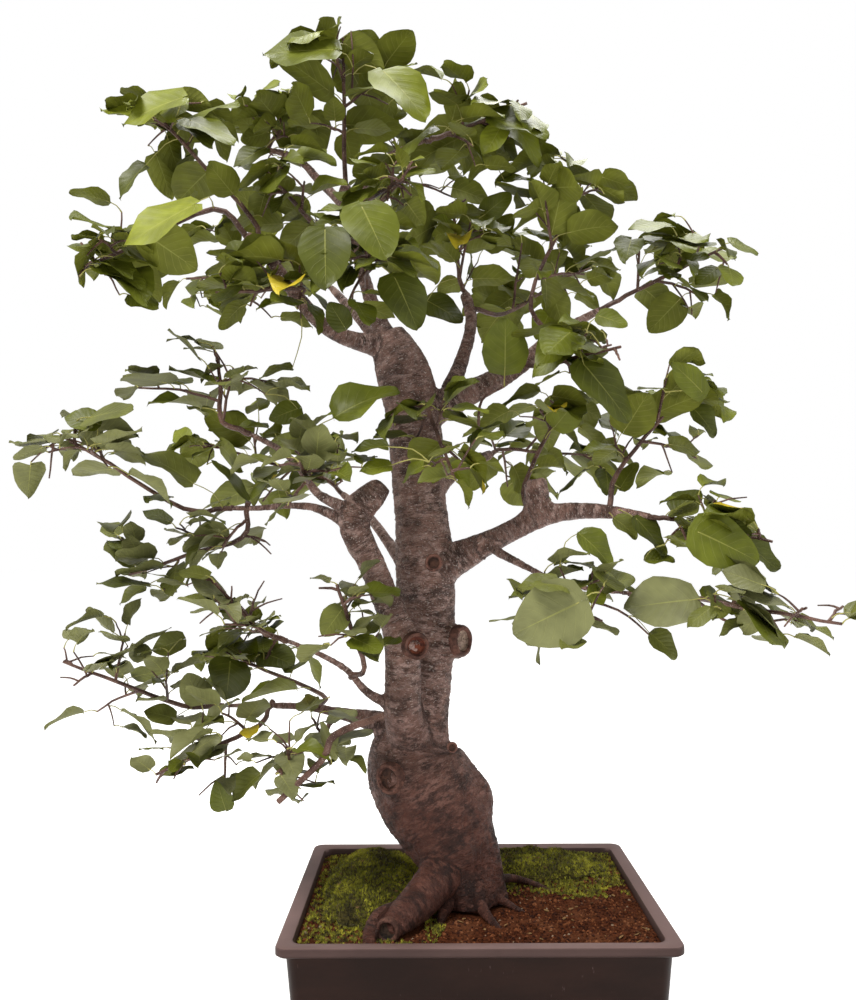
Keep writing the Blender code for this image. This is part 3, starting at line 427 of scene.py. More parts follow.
def place_group(tree, group, links):
    made = tree.nodes.new("ShaderNodeGroup")
    made.node_tree = group
    for key, value in links.items():
        feed(tree, made.inputs[key], value)
    return made.outputs


def new_material(name, colour, roughness, **extra):
    """A material with its Principled shader's own values; returns it with its tree and shader."""
    made = bpy.data.materials.new(name)
    made.use_nodes = True
    shader = made.node_tree.nodes["Principled BSDF"]
    shader.inputs["Specular IOR Level"].default_value = 0.2
    shader.inputs["Base Color"].default_value = (*colour, 1)
    shader.inputs["Roughness"].default_value = roughness
    for key, value in extra.items():
        shader.inputs[key.replace("_", " ")].default_value = value
    return made, made.node_tree, shader


def object_vector(tree):
    return node(tree, "ShaderNodeTexCoord").outputs["Object"]


def height_of(tree, vector):
    return node(tree, "ShaderNodeSeparateXYZ", {0: vector}).outputs[2]


def add_bump(tree, shader, height, distance, strength=1.0):
    bump = node(tree, "ShaderNodeBump", {"Height": height, "Distance": distance, "Strength": strength})
    tree.links.new(bump.outputs[0], shader.inputs["Normal"])


# ---------------------------------------------------------------- mesh tools


def object_from(bm, name, *materials, smooth=50):
    """A finished piece: its mesh at the origin."""
    mesh = bpy.data.meshes.new(name)
    bm.to_mesh(mesh)
    bm.free()
    return piece_from(mesh, name, *materials, smooth=smooth)


def piece_from(mesh, name, *materials, smooth=50):
    obj = bpy.data.objects.new(name, mesh)
    bpy.context.scene.collection.objects.link(obj)
    for material in materials:
        mesh.materials.append(material)
    mesh.shade_smooth()
    mesh.set_sharp_from_angle(angle=math.radians(smooth))
    return obj


def settle(obj, slot, *nodes):
    """Puts a piece on the plant's body, in place of its nodes; slot, the finish it has in the record, is not
    used.
    """
    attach(obj, "root")
    if nodes:
        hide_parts(*nodes)


def apply_modifiers(obj):
    graph = bpy.context.evaluated_depsgraph_get()
    old = obj.data
    obj.data = bpy.data.meshes.new_from_object(obj.evaluated_get(graph))
    obj.modifiers.clear()
    bpy.data.meshes.remove(old)


def arrays_of(bm):
    """A small shape as arrays to be repeated: corners, triangles, slots and texture places."""
    bmesh.ops.triangulate(bm, faces=bm.faces)
    bm.verts.index_update()
    places = np.array([v.co for v in bm.verts])
    faces = np.array([[v.index for v in f.verts] for f in bm.faces])
    slots = np.array([f.material_index for f in bm.faces])
    layer = bm.loops.layers.uv.active
    flat = [(0.0, 0.0)] * (3 * len(faces)) if layer is None else [
        tuple(loop[layer].uv) for f in bm.faces for loop in f.loops
    ]
    bm.free()
    return places, faces, slots, np.array(flat)


def joined(name, shapes, placed, materials, smooth=50):
    """One mesh of many small shapes: each is placed by a matrix, with its slots changed by a table."""
    corners, faces, slots, flat = [], [], [], []
    count = 0
    for which, matrix, table in placed:
        places, triangles, own, uv = shapes[which]
        m = np.array(matrix)
        corners.append(places @ m[:3, :3].T + m[:3, 3])
        faces.append(triangles + count)
        slots.append(np.array(table)[own])
        flat.append(uv)
        count += len(places)
    mesh = bpy.data.meshes.new(name)
    mesh.from_pydata(np.concatenate(corners), [], np.concatenate(faces))
    mesh.polygons.foreach_set("material_index", np.concatenate(slots).astype(np.int32))
    layer = mesh.uv_layers.new(name="UVMap")
    layer.data.foreach_set("uv", np.concatenate(flat).ravel().astype(np.float32))
    mesh.update()
    return piece_from(mesh, name, *materials, smooth=smooth)


def tubes(name, paths, sides, *materials):
    """Many round tapering twigs as one mesh: each path is a row of places with their radii."""
    curve = bpy.data.curves.new(name, "CURVE")
    curve.dimensions = "3D"
    curve.bevel_depth = 1.0
    curve.bevel_resolution = sides // 2 - 2
    curve.use_fill_caps = True
    for rows in paths:
        spline = curve.splines.new("POLY")
        spline.points.add(len(rows) - 1)
        for point, (place, radius) in zip(spline.points, rows):
            point.co = (*place, 1)
            point.radius = radius
    guide = bpy.data.objects.new(name + "_guide", curve)
    bpy.context.scene.collection.objects.link(guide)
    graph = bpy.context.evaluated_depsgraph_get()
    bm = bmesh.new()
    bm.from_mesh(bpy.data.meshes.new_from_object(guide.evaluated_get(graph)))
    bpy.data.objects.remove(guide, do_unlink=True)
    bmesh.ops.remove_doubles(bm, verts=bm.verts, dist=1e-6)
    return object_from(bm, name, *materials)


def smooth_curve(stations, steps):
    """Rows on a smooth curve through the stations, with as many steps between each two."""
    rows = [Vector(station) for station in stations]
    rows = [2 * rows[0] - rows[1]] + rows + [2 * rows[-1] - rows[-2]]
    curve = []
    for a, b, c, d in zip(rows, rows[1:], rows[2:], rows[3:]):
        for step in range(steps):
            t = step / steps
            bend = (c - a) * t + (2 * a - 5 * b + 4 * c - d) * t**2 + (3 * b - a - 3 * c + d) * t**3
            curve.append(b + bend / 2)
    return curve + [rows[-2]]


def tree_of(obj):
    return BVHTree.FromPolygons([v.co for v in obj.data.vertices], [p.vertices for p in obj.data.polygons])


def finder_of(places):
    """Finds the nearest of some places."""
    finder = KDTree(len(places))
    for k, place in enumerate(places):
        finder.insert(place, k)
    finder.balance()
    return finder


def set_down(place, turn, size):
    """Puts a small shape of size 1 in its place."""
    return Matrix.Translation(place) @ turn @ Matrix.Scale(size, 4)


def towards(normal, spin=0.0):
    """A turn that takes +Z to the normal."""
    turn = Vector(normal).normalized().to_track_quat("Z", "Y").to_matrix().to_4x4()
    return turn @ Matrix.Rotation(spin, 4, "Z")


# ---------------------------------------------------------------- bark

BARK_TONES = ((0.040, 0.019, 0.013), (0.235, 0.128, 0.098), (0.400, 0.265, 0.228))
LENTICEL = (0.640, 0.530, 0.470)
BARK_VOXEL = 0.0023
BARK_ROUNDS = 7
THICK_LIMB = 0.035  # from this radius on, bark has its full relief
FOOT_TOP = 0.36  # below this the trunk's swellings run into each other
FOOT_ROUNDS = 16
OLD_BARK = (0.27, 0.47)  # old below the first height, young above the second


def bark_pattern():
    """Alder bark: patches of grey and brown, pale level lenticels, fine cracks along the limb."""
    group, given, out = new_group(
        "bark_pattern",
        {"Limb": "NodeSocketVector", "Base": "NodeSocketFloat"},
        {"Color": "NodeSocketColor", "Roughness": "NodeSocketFloat", "Height": "NodeSocketFloat"},
    )
    limb, base = given["Limb"], given["Base"]
    patches = speckle(group, stretched(group, limb, (22, 22, 34)), 1.0, 6.0, 0.70)
    blots = speckle(group, stretched(group, limb, (64, 64, 150)), 1.0, 6.0, 0.72)
    grain = speckle(group, stretched(group, limb, (420, 420, 900)), 1.0, 3.0, 0.6)
    dashes = speckle(group, stretched(group, limb, (260, 260, 900)), 1.0, 2.0)
    cracks = speckle(group, stretched(group, limb, (120, 120, 430)), 1.0, 5.0, 0.65)
    dots = speckle(group, limb, 420.0, 1.0)
    colour = mix(group, ramp(group, patches, 0.34, 0.62), BARK_TONES[0], BARK_TONES[1])
    silver = maths(group, "MULTIPLY", ramp(group, blots, 0.47, 0.62), 0.85)
    colour = mix(group, silver, colour, BARK_TONES[2])
    fine = maths(group, "MULTIPLY_ADD", grain, 1.2, 0.40)
    colour = times(group, colour, fine)
    soft = speckle(group, stretched(group, limb, (48, 48, 95)), 1.0, 3.0, 0.6)
    colour = mix(group, maths(group, "MULTIPLY", ramp(group, soft, 0.48, 0.34), 0.70), colour, BARK_TONES[0])
    dark = maths(group, "MULTIPLY", ramp(group, cracks, 0.43, 0.34), 0.70)
    colour = mix(group, dark, colour, BARK_TONES[0])
    pale = ramp(group, dashes, 0.60, 0.68)
    pale = maths(group, "MAXIMUM", pale, ramp(group, dots, 0.68, 0.74))
    share = maths(group, "MULTIPLY", maths(group, "MULTIPLY_ADD", base, -0.55, 0.80), pale)
    colour = mix(group, share, colour, LENTICEL)
    shade = speckle(group, stretched(group, limb, (9, 9, 14)), 1.0, 2.0)
    shade = maths(group, "MULTIPLY_ADD", shade, 1.3, 0.38)
    colour = times(group, colour, shade)
    old = mix(group, 1.0, colour, (0.40, 0.235, 0.185), "MULTIPLY")
    colour = mix(group, base, colour, old)
    height = maths(group, "MULTIPLY_ADD", pale, 0.7, maths(group, "MULTIPLY", cracks, 1.8))
    height = maths(group, "MULTIPLY_ADD", grain, 0.6, height)
    height = maths(group, "MULTIPLY_ADD", blots, 1.2, height)
    rough = maths(group, "MULTIPLY_ADD", soft, -0.50, 0.78)
    group.links.new(colour, out["Color"])
    group.links.new(rough, out["Roughness"])
    group.links.new(height, out["Height"])
    return group


def bark_material(name, pattern, base_low, base_high):
    """Bark that reads each limb's own lengthwise places, and darkens towards the ground."""
    made, tree, shader = new_material(name, (0.15, 0.09, 0.07), 0.7, Specular_IOR_Level=0.34)
    limb = node(tree, "ShaderNodeAttribute", attribute_name="limb").outputs["Vector"]
    height = height_of(tree, object_vector(tree))
    drift = speckle(tree, object_vector(tree), 14.0, 3.0)
    height = maths(tree, "MULTIPLY_ADD", drift, 0.10, height)
    base = ramp(tree, height, base_high, base_low)
    bark = place_group(tree, pattern, {"Limb": limb, "Base": base})
    tree.links.new(bark["Color"], shader.inputs["Base Color"])
    tree.links.new(bark["Roughness"], shader.inputs["Roughness"])
    add_bump(tree, shader, bark["Height"], 0.0026)
    return made


def limb_places(obj, courses):
    """Stores on each corner where it lies on the limb whose bark it is: across twice, then along."""
    finders = []
    for group in (courses[:1], courses[1:2], courses[2:3], courses[3:]):
        points = []
        for course in group:
            rows = smooth_curve(course, 8)
            gone = 0.0
            for k, row in enumerate(rows):
                after, before = rows[min(k + 1, len(rows) - 1)].xyz, rows[max(k - 1, 0)].xyz
                points.append((row.xyz, (after - before).normalized(), gone, row.w))
                gone += (after - row.xyz).length
        finders.append((finder_of([point[0] for point in points]), points))
    values = np.zeros((len(obj.data.vertices), 3), np.float32)
    for k, vertex in enumerate(obj.data.vertices):
        best = None
        for finder, points in finders:
            if not points:
                continue
            _, which, distance = finder.find(vertex.co)
            share = distance / points[which][3]
            if best is None or share < best[0]:
                best = (share, points[which])
        place, forward, gone, _ = best[1]
        away = vertex.co - place
        side = forward.cross(Vector((0.31, 0.95, 0.0))).normalized()
        over = side.cross(forward)
        values[k] = (away.dot(side), away.dot(over), gone + away.dot(forward))
    attribute = obj.data.attributes.new("limb", "FLOAT_VECTOR", "POINT")
    attribute.data.foreach_set("vector", values.ravel())
    return values


def relief(obj, values, lumps, ridges):
    """Moves each corner by the bark's lumps, level wrinkles and fine grain: less on thin limbs."""
    normals = [v.normal.copy() for v in obj.data.vertices]
    for vertex, normal, (a, b, c) in zip(obj.data.vertices, normals, values.tolist()):
        share = 0.25 + 0.75 * min(1.0, math.hypot(a, b) / THICK_LIMB)
        lump = noise.noise(Vector((a * 45, b * 45, c * 22)))
        wrinkle = noise.noise(Vector((a * 60, b * 60, c * 260 + 9 * noise.noise(Vector((a, b, c)) * 40))))
        grain = noise.noise(Vector((a, b, c)) * 230)
        vertex.co += normal * share * (lumps * lump + ridges * (wrinkle + 0.6 * grain))


def bark_skin(name, nodes, courses, voxel, lumps, ridges, material):
    """The bark of some limbs: their solids made one fine skin each, then given the bark's relief."""
    bm = bmesh.new()
    for part in nodes:
        bm.from_mesh(frame["nodes"][part].data)
    bmesh.ops.remove_doubles(bm, verts=bm.verts, dist=1e-6)
    obj = object_from(bm, name, material)
    rounded = obj.modifiers.new("rounded", "SUBSURF")
    rounded.levels = rounded.render_levels = 1
    fine = obj.modifiers.new("fine", "REMESH")
    fine.mode = "VOXEL"
    fine.voxel_size = voxel
    fine.use_smooth_shade = True
    soften = obj.modifiers.new("soften", "SMOOTH")
    soften.factor = 0.5
    soften.iterations = BARK_ROUNDS
    apply_modifiers(obj)
    bm = bmesh.new()
    bm.from_mesh(obj.data)
    foot = [vertex for vertex in bm.verts if vertex.co.z < FOOT_TOP]
    for _ in range(FOOT_ROUNDS):
        bmesh.ops.smooth_vert(bm, verts=foot, factor=0.5, use_axis_x=True, use_axis_y=True, use_axis_z=True)
    bm.to_mesh(obj.data)
    bm.free()
    values = limb_places(obj, courses)
    relief(obj, values, lumps, ridges)
    settle(obj, "bark", *nodes)


# Scars of cut boughs: centre, the way they face, radius, finish of the cut.
SCARS = {
    "cut_amber": ((-0.0635, -0.0735, 0.4285), (0.35, -0.93, 0.02), 0.0118, "amber_wood"),
    "cut_pale": ((-0.0120, -0.0200, 0.4290), (0.80, -0.60, 0.05), 0.0140, "pale_wood"),
    "knot_ringed": ((-0.0955, -0.0575, 0.2800), (-0.55, -0.83, 0.02), 0.0135, "old_wood"),
    "root_end": ((-0.0935, -0.1165, 0.1415), (-0.25, -0.95, 0.05), 0.0100, "dark_hollow"),
    "knot_high": ((-0.0440, -0.1000, 0.5200), (0.05, -1.0, 0.10), 0.0075, "old_wood"),
    "knot_low": ((-0.0250, -0.1000, 0.3240), (0.10, -1.0, 0.10), 0.0045, "old_wood"),
}
SCAR_SIDES = 28
# Rings of a scar from its collar inwards, in radii: height, and width against the ring before.
SCAR_RINGS = [
    (0.20, 0.98), (0.42, 0.90), (0.44, 0.84), (0.24, 0.84), (0.06, 0.94), (-0.02, 0.60), (0.03, 0.4),
]
# Fine roots that leave the trunk's foot for the soil: places with their radii.
ROOTS = [
    [(0.008, -0.015, 0.152, 0.0065), (0.034, 0.012, 0.146, 0.0055), (0.055, 0.030, 0.139, 0.0042),
     (0.080, 0.016, 0.136, 0.0030), (0.098, 0.004, 0.129, 0.0020)],
    [(0.010, -0.035, 0.152, 0.0065), (0.034, -0.040, 0.140, 0.0045), (0.055, -0.050, 0.131, 0.0020)],
    [(-0.002, -0.050, 0.152, 0.0080), (0.012, -0.074, 0.139, 0.0055), (0.026, -0.092, 0.130, 0.0024)],
    [(-0.080, -0.085, 0.150, 0.0105), (-0.101, -0.098, 0.147, 0.0100), (-0.110, -0.114, 0.140, 0.0085),
     (-0.112, -0.128, 0.130, 0.0065)],
    [(-0.020, -0.005, 0.155, 0.0110), (-0.045, 0.028, 0.143, 0.0075), (-0.064, 0.052, 0.131, 0.0035)],
    [(-0.022, -0.045, 0.155, 0.0090), (-0.034, -0.068, 0.141, 0.0068), (-0.040, -0.084, 0.130, 0.0036)],
]


def scar_wood(name, light, dark):
    """The cut end of a bough: rings round its heart, with cracks."""
    made, tree, shader = new_material(name, light, 0.75)
    place = object_vector(tree)
    cracks = speckle(tree, place, 420.0, 4.0, 0.7)
    patches = speckle(tree, place, 130.0, 3.0)
    colour = mix(tree, ramp(tree, patches, 0.35, 0.65), dark, light)
    colour = mix(tree, ramp(tree, cracks, 0.44, 0.36), colour, scaled(dark, 0.3))
    tree.links.new(colour, shader.inputs["Base Color"])
    add_bump(tree, shader, cracks, 0.0008)
    return made


def scar(bm, centre, facing, radius, seed):
    """A dished cut face inside a rolled collar of healing bark: slot 0 is the collar, slot 1 the cut."""
    made = bmesh.ops.create_circle(bm, cap_ends=True, segments=SCAR_SIDES, radius=radius * 1.32)
    face = made["verts"][0].link_faces[0]
    for vertex in made["verts"]:
        vertex.co.z = -0.30 * radius
    for height, width in SCAR_RINGS:
        inner = bmesh.ops.inset_individual(bm, faces=[face], thickness=0.0)["faces"]
        ring = list(face.verts)
        for vertex in ring:
            vertex.co.x *= width
            vertex.co.y *= width
            vertex.co.z = height * radius
        if height < 0.1:
            for side in inner:
                side.material_index = 1
    face.material_index = 1
    turn = Matrix.Translation(centre) @ towards(facing)
    for vertex in bm.verts:
        if not vertex.tag:
            shake = noise.noise(vertex.co * 90 + Vector((seed, 0, 0)))
            swell = 1 + 0.10 * noise.noise(Vector((vertex.co.x, vertex.co.y, 0)) * 60 + Vector((0, seed, 0)))
            lifted = vertex.co.z + shake * 0.06 * radius
            vertex.co = turn @ Vector((vertex.co.x * swell, vertex.co.y * swell, lifted))
            vertex.tag = True


def build_scars():
    finishes = {
        "amber_wood": ((0.155, 0.040, 0.018), (0.050, 0.013, 0.008)),
        "pale_wood": ((0.330, 0.240, 0.185), (0.150, 0.100, 0.072)),
        "old_wood": ((0.060, 0.026, 0.016), (0.020, 0.009, 0.006)),
        "dark_hollow": ((0.060, 0.036, 0.024), (0.012, 0.008, 0.006)),
    }
    bark_tree = tree_of(bpy.data.objects["limb_bark"])
    collar = scar_wood("healed_collar", (0.125, 0.056, 0.040), (0.050, 0.022, 0.016))
    for number, (name, (centre, facing, radius, finish)) in enumerate(SCARS.items()):
        facing = Vector(facing).normalized()
        seat = bark_tree.ray_cast(Vector(centre) + facing * 0.08, -facing, 0.14)[0]
        centre = seat if seat is not None else Vector(centre)
        bm = bmesh.new()
        scar(bm, centre, facing, radius, number + 1)
        obj = object_from(bm, name, collar, scar_wood(name + "_wood", *finishes[finish]))
        settle(obj, "bark")


def build_bark():
    bark = bark_material("alder_bark", bark_pattern(), *OLD_BARK)
    courses = [TRUNK, SURFACE_ROOT, SECOND_STEM] + [bough[1] for bough in BOUGHS.values()]
    bark_skin("limb_bark", ["trunk", "second_stem", *BOUGHS], courses, BARK_VOXEL, 0.0018, 0.0013, bark)
    build_scars()
    rows = [[(row.xyz, row.w) for row in smooth_curve(root, 6)] for root in ROOTS]
    roots = tubes("fine_roots", rows, 12, bark)
    relief(roots, limb_places(roots, courses[:3] + ROOTS), 0.0022, 0.0014)
    settle(roots, "bark")


# ---------------------------------------------------------------- leaves

BLADE_ROWS = (0.0, 0.05, 0.15, 0.30, 0.46, 0.62, 0.77, 0.89, 0.97, 1.0)  # places along a blade
BLADE_COLUMNS = (-1.0, -0.5, 0.0, 0.5, 1.0)  # and across it
BLADE_THICK = 0.010  # of its length
# How blades differ: width, heart-shaped base, fold, droop, wave of the edge, twist.
BLADE_SHAPES = [
    (1.00, 0.10, 0.16, 0.22, 0.045, 0.10),
    (0.90, 0.04, 0.32, 0.38, 0.060, -0.30),
    (1.08, 0.13, 0.10, 0.12, 0.040, 0.18),
    (0.80, 0.02, 0.45, 0.50, 0.070, 0.40),
    (0.96, 0.08, -0.14, 0.32, 0.055, -0.15),
    (0.86, 0.06, 0.22, 0.66, 0.060, 0.25),
    (0.92, 0.07, 0.60, 0.30, 0.050, 0.05),
    (1.02, 0.09, 0.26, -0.12, 0.060, -0.35),
    (1.15, 0.16, 0.03, 0.14, 0.028, -0.05),
]


def blade_edge(t):
    """Half width of a blade of length 1 at a place along it: broad near the base, with a short point."""
    round_part = math.sin(math.pi * t**0.62) ** 0.58 if 0 < t < 1 else 0.0
    return 0.5 * round_part * (1 - 0.10 * t**3)


def blade(number, width, heart, fold, droop, wave, twist):
    """A blade of length 1 along +Y, upper face to +Z: slot 0 above, slot 1 below, welded at its edge."""
    chance = random.Random(number)
    bm = bmesh.new()
    flat = bm.loops.layers.uv.new("UVMap")
    columns, rows = len(BLADE_COLUMNS) - 1, len(BLADE_ROWS) - 1
    bmesh.ops.create_grid(bm, x_segments=columns, y_segments=rows, size=0.5)
    shake = [[chance.uniform(0.975, 1.02) for _ in BLADE_ROWS] for _ in (0, 1)]
    spots = {}
    for vertex in bm.verts:
        row = round((vertex.co.y + 0.5) * rows)
        s, t = BLADE_COLUMNS[round((vertex.co.x + 0.5) * columns)], BLADE_ROWS[row]
        spots[vertex] = (s, t)
        x = s * blade_edge(t) * LEAF_WIDTH * width * shake[s > 0][row]
        y = t - heart * abs(s) * math.exp(-((t / 0.20) ** 2)) + 0.06 * abs(s) * t * (1 - t)
        z = fold * abs(x) - droop * t * t * 0.55 + wave * s * s * math.sin(9.0 * t + 2.0 * s + 8 * heart)
        vertex.co = (x, y, z + twist * x * t * 0.8)
    for face in bm.faces:
        for loop in face.loops:
            s, t = spots[loop.vert]
            loop[flat].uv = (0.5 + 0.5 * s, t)
    bmesh.ops.recalc_face_normals(bm, faces=bm.faces)
    if sum(face.normal.z for face in bm.faces) < 0:
        bmesh.ops.reverse_faces(bm, faces=bm.faces)
    inner = [vertex for vertex in bm.verts if not vertex.is_boundary]
    below = bmesh.ops.duplicate(bm, geom=bm.verts[:] + bm.edges[:] + bm.faces[:])
    under = [part for part in below["geom"] if isinstance(part, bmesh.types.BMFace)]
    bmesh.ops.reverse_faces(bm, faces=under)
    for face in under:
        face.material_index = 1
    half = BLADE_THICK / 2
    for vertex in inner:
        below["vert_map"][vertex].co.z -= half
        vertex.co.z += half
    bmesh.ops.remove_doubles(bm, verts=bm.verts, dist=1e-4)
    return arrays_of(bm)


def leaf_veins():
    """Side veins from the blade's own places: out from the midrib and forward to the edge."""
    group, given, out = new_group(
        "leaf_veins",
        {"Place": "NodeSocketVector"},
        {"Vein": "NodeSocketFloat", "Midrib": "NodeSocketFloat", "Height": "NodeSocketFloat"},
    )
    parts = node(group, "ShaderNodeSeparateXYZ", {0: given["Place"]}).outputs
    across = maths(group, "ABSOLUTE", maths(group, "MULTIPLY_ADD", parts[0], 2.0, -1.0))
    lean = maths(group, "MULTIPLY_ADD", across, -0.30, parts[1])
    wave = maths(group, "SINE", maths(group, "MULTIPLY", lean, 44.0))
    vein = maths(group, "MULTIPLY", ramp(group, wave, 0.93, 0.995), ramp(group, across, 0.98, 0.6))
    taper = maths(group, "MULTIPLY_ADD", parts[1], -0.028, 0.042)
    midrib = maths(group, "SUBTRACT", 1.0, ramp(group, maths(group, "DIVIDE", across, taper), 0.55, 1.0))
    group.links.new(midrib, out["Midrib"])
    net = node(group, "ShaderNodeTexVoronoi", {"Vector": given["Place"], "Scale": 26.0}).outputs[0]
    group.links.new(vein, out["Vein"])
    height = maths(group, "MULTIPLY_ADD", wave, 0.35, maths(group, "MULTIPLY", vein, -0.5))
    group.links.new(maths(group, "MULTIPLY_ADD", net, 0.25, height), out["Height"])
    return group


def leaf_material(name, colour, roughness, veins, vein_share, coat):
    """A waxy leaf face: a plain green with its veins, and mottling within the leaf."""
    made, tree, shader = new_material(name, colour, roughness, Coat_Weight=coat, Coat_Roughness=0.35)
    place = node(tree, "ShaderNodeUVMap").outputs[0]
    lines = place_group(tree, veins, {"Place": place})
    mottle = speckle(tree, object_vector(tree), 38.0, 2.0)
    shade = mix(tree, ramp(tree, mottle, 0.30, 0.72), scaled(colour, 0.80), scaled(colour, 1.18))
    shade = mix(tree, maths(tree, "MULTIPLY", lines["Vein"], vein_share), shade, VEIN)
    shade = mix(tree, maths(tree, "MULTIPLY", lines["Midrib"], 0.42), shade, VEIN)
    tree.links.new(shade, shader.inputs["Base Color"])
    add_bump(tree, shader, lines["Height"], 0.00028)
    return made


# ---------------------------------------------------------------- foliage


class Space:
    """The egg-shaped space of one mass."""

    def __init__(self, name):
        self.name = name
        self.limb, self.along, centre, sizes = MASSES[name]
        self.centre = Vector(centre)
        self.sizes = Vector(sizes)

    def depth(self, point):
        """0 at the centre, 1 on the border."""
        away = point - self.centre
        return Vector([a / s for a, s in zip(away, self.sizes)]).length

    def holds(self, point, ease=0.0):
        """Whether the point is in this mass's space, which may be eased over its border."""
        mine = self.depth(point) - ease
        return mine < 1 and in_model(point) and all(
            mine + SPACE_MARGIN < other.depth(point) + ease for other in SPACES if other is not self
        )


def in_model(point):
    """Whether the point is inside the model's own box, with a little to spare."""
    low, high = CAD_BOX
    return all(a - BOX_EASE < p < b + BOX_EASE for a, p, b in zip(low, point, high))


def in_opening(point):
    """Whether the point stands before or behind an opening, seen from the front."""
    eye = Vector(CAMERA_AT)
    way = point - eye
    spot = eye + way * ((OPEN_PLANE - eye.y) / way.y)
    return any((spot.x - x) ** 2 + (spot.z - z) ** 2 < (r - OPENING_EASE) ** 2 for x, z, r in OPENINGS)


def by_part(table, name, otherwise):
    """The value for the longest part of the crown that the mass's name starts with."""
    found = [part for part in table if name.startswith(part)]
    return table[max(found, key=len)] if found else otherwise


def stations_of(limb):
    return TRUNK if limb == "trunk" else BOUGHS[limb][1]


def seat_of(space, trees, turn):
    """Where the mass's stem leaves its limb, a little inside the bark, and the way out of it."""
    rows = smooth_curve(stations_of(space.limb), 8)
    place = round(space.along * (len(rows) - 1))
    inner = rows[place].xyz
    onward = (rows[place].xyz - rows[place - 1].xyz).normalized()
    if space.along == 1:
        return inner, onward
    outward = (space.centre - inner).normalized()
    outward = (outward - 0.8 * outward.dot(onward) * onward).normalized()
    outward = Quaternion(onward, math.radians(turn)) @ outward
    return trees[space.limb].ray_cast(inner + outward * WIDEST_LIMB, -outward)[0], outward


def border_along(space, start, way, longest):
    """How far the way from the start stays inside the mass's space."""
    reach = 0.0
    while reach < longest and space.holds(start + way * (reach + BORDER_STEP)):
        reach += BORDER_STEP
    return reach


def sheet_of(path, width):
    """Two crossed strips along a path, to test it for crossings."""
    corners, faces = [], []
    for way in (Vector((width, 0, 0)), Vector((0, width, width))):
        first = len(corners)
        for point in path:
            corners += [point - way, point + way]
        faces += [(first + 2 * k, first + 2 * k + 1, first + 2 * k + 3, first + 2 * k + 2)
                  for k in range(len(path) - 1)]
    return BVHTree.FromPolygons(corners, faces)


def stem_path(space, trees, made):
    """The first way for the mass's stem that meets no other limb and no other stem."""
    for turn in STEM_TURNS:
        start, outward = seat_of(space, trees, turn)
        knee = start + outward * STEM_KNEE * (space.centre - start).length
        onward = (space.centre - knee).normalized()
        far = space.centre + onward * border_along(space, space.centre, onward, 1.0) * STEM_REACH
        path = [start, knee, space.centre, far]
        guide = sheet_of([start.lerp(knee, 0.25)] + path[1:], STEM_RADIUS[0] + CLEARANCE)
        if not any(tree.overlap(guide) for tree in list(trees.values()) + list(made.values())):
            break
    return path


def bent(path, steps, wander, chance):
    """A natural line through the path, with a slight wander between its ends."""
    rows = [Vector(row[:3]) for row in smooth_curve([(*p, 0) for p in path], steps)]
    for row in rows[1:-1]:
        row += Vector([chance.uniform(-wander, wander) for _ in range(3)])
    return rows


def way_around(forward, turn, lean):
    side = forward.cross(UP).normalized()
    over = side.cross(forward)
    return (side * math.cos(turn) + over * math.sin(turn) + forward * lean + UP * 0.15).normalized()


def shoots_of(space, stem):
    """Side shoots, each turned by the golden angle around the stem from the one before."""
    chance = random.Random(space.name)
    turn = chance.uniform(0, math.tau)
    inside = [k for k, point in enumerate(stem) if space.holds(point)]
    shoots = []
    for number in range(SHOOTS):
        place = inside[0] + (len(stem) - 1 - inside[0]) * (number + 0.6) / SHOOTS
        k = min(int(place), len(stem) - 2)
        root = stem[k].lerp(stem[k + 1], place - k)
        turn += GOLDEN_ANGLE
        way = way_around((stem[k + 1] - stem[k]).normalized(), turn, 0.45)
        way = (way + Vector([chance.uniform(-0.2, 0.2) for _ in range(3)])).normalized()
        reach = border_along(space, root, way, SHOOT_REACH) - LEAF_LENGTH * 0.62
        shoots.append((root, way, max(reach, SHORTEST_SHOOT)))
    return shoots


def twiglets_of(space, path, chance):
    """The finer twigs of one shoot, alternate along it."""
    made = []
    for k in range(TWIGLETS):
        place = (0.35 + 0.4 * k) * (len(path) - 1)
        low = int(place)
        root = path[low].lerp(path[low + 1], place - low)
        forward = (path[low + 1] - path[low]).normalized()
        way = way_around(forward, chance.uniform(0, math.tau), 0.7)
        reach = border_along(space, root, way, TWIGLET_REACH) - LEAF_LENGTH * 0.4
        if reach > 0.012:
            made.append([root, root + way * reach * 0.5 + UP * 0.002, root + way * reach])
    return made


def clear_of(obstacles, points):
    return not any(
        tree.find_nearest(point, CLEARANCE)[0] is not None for tree in obstacles for point in points)


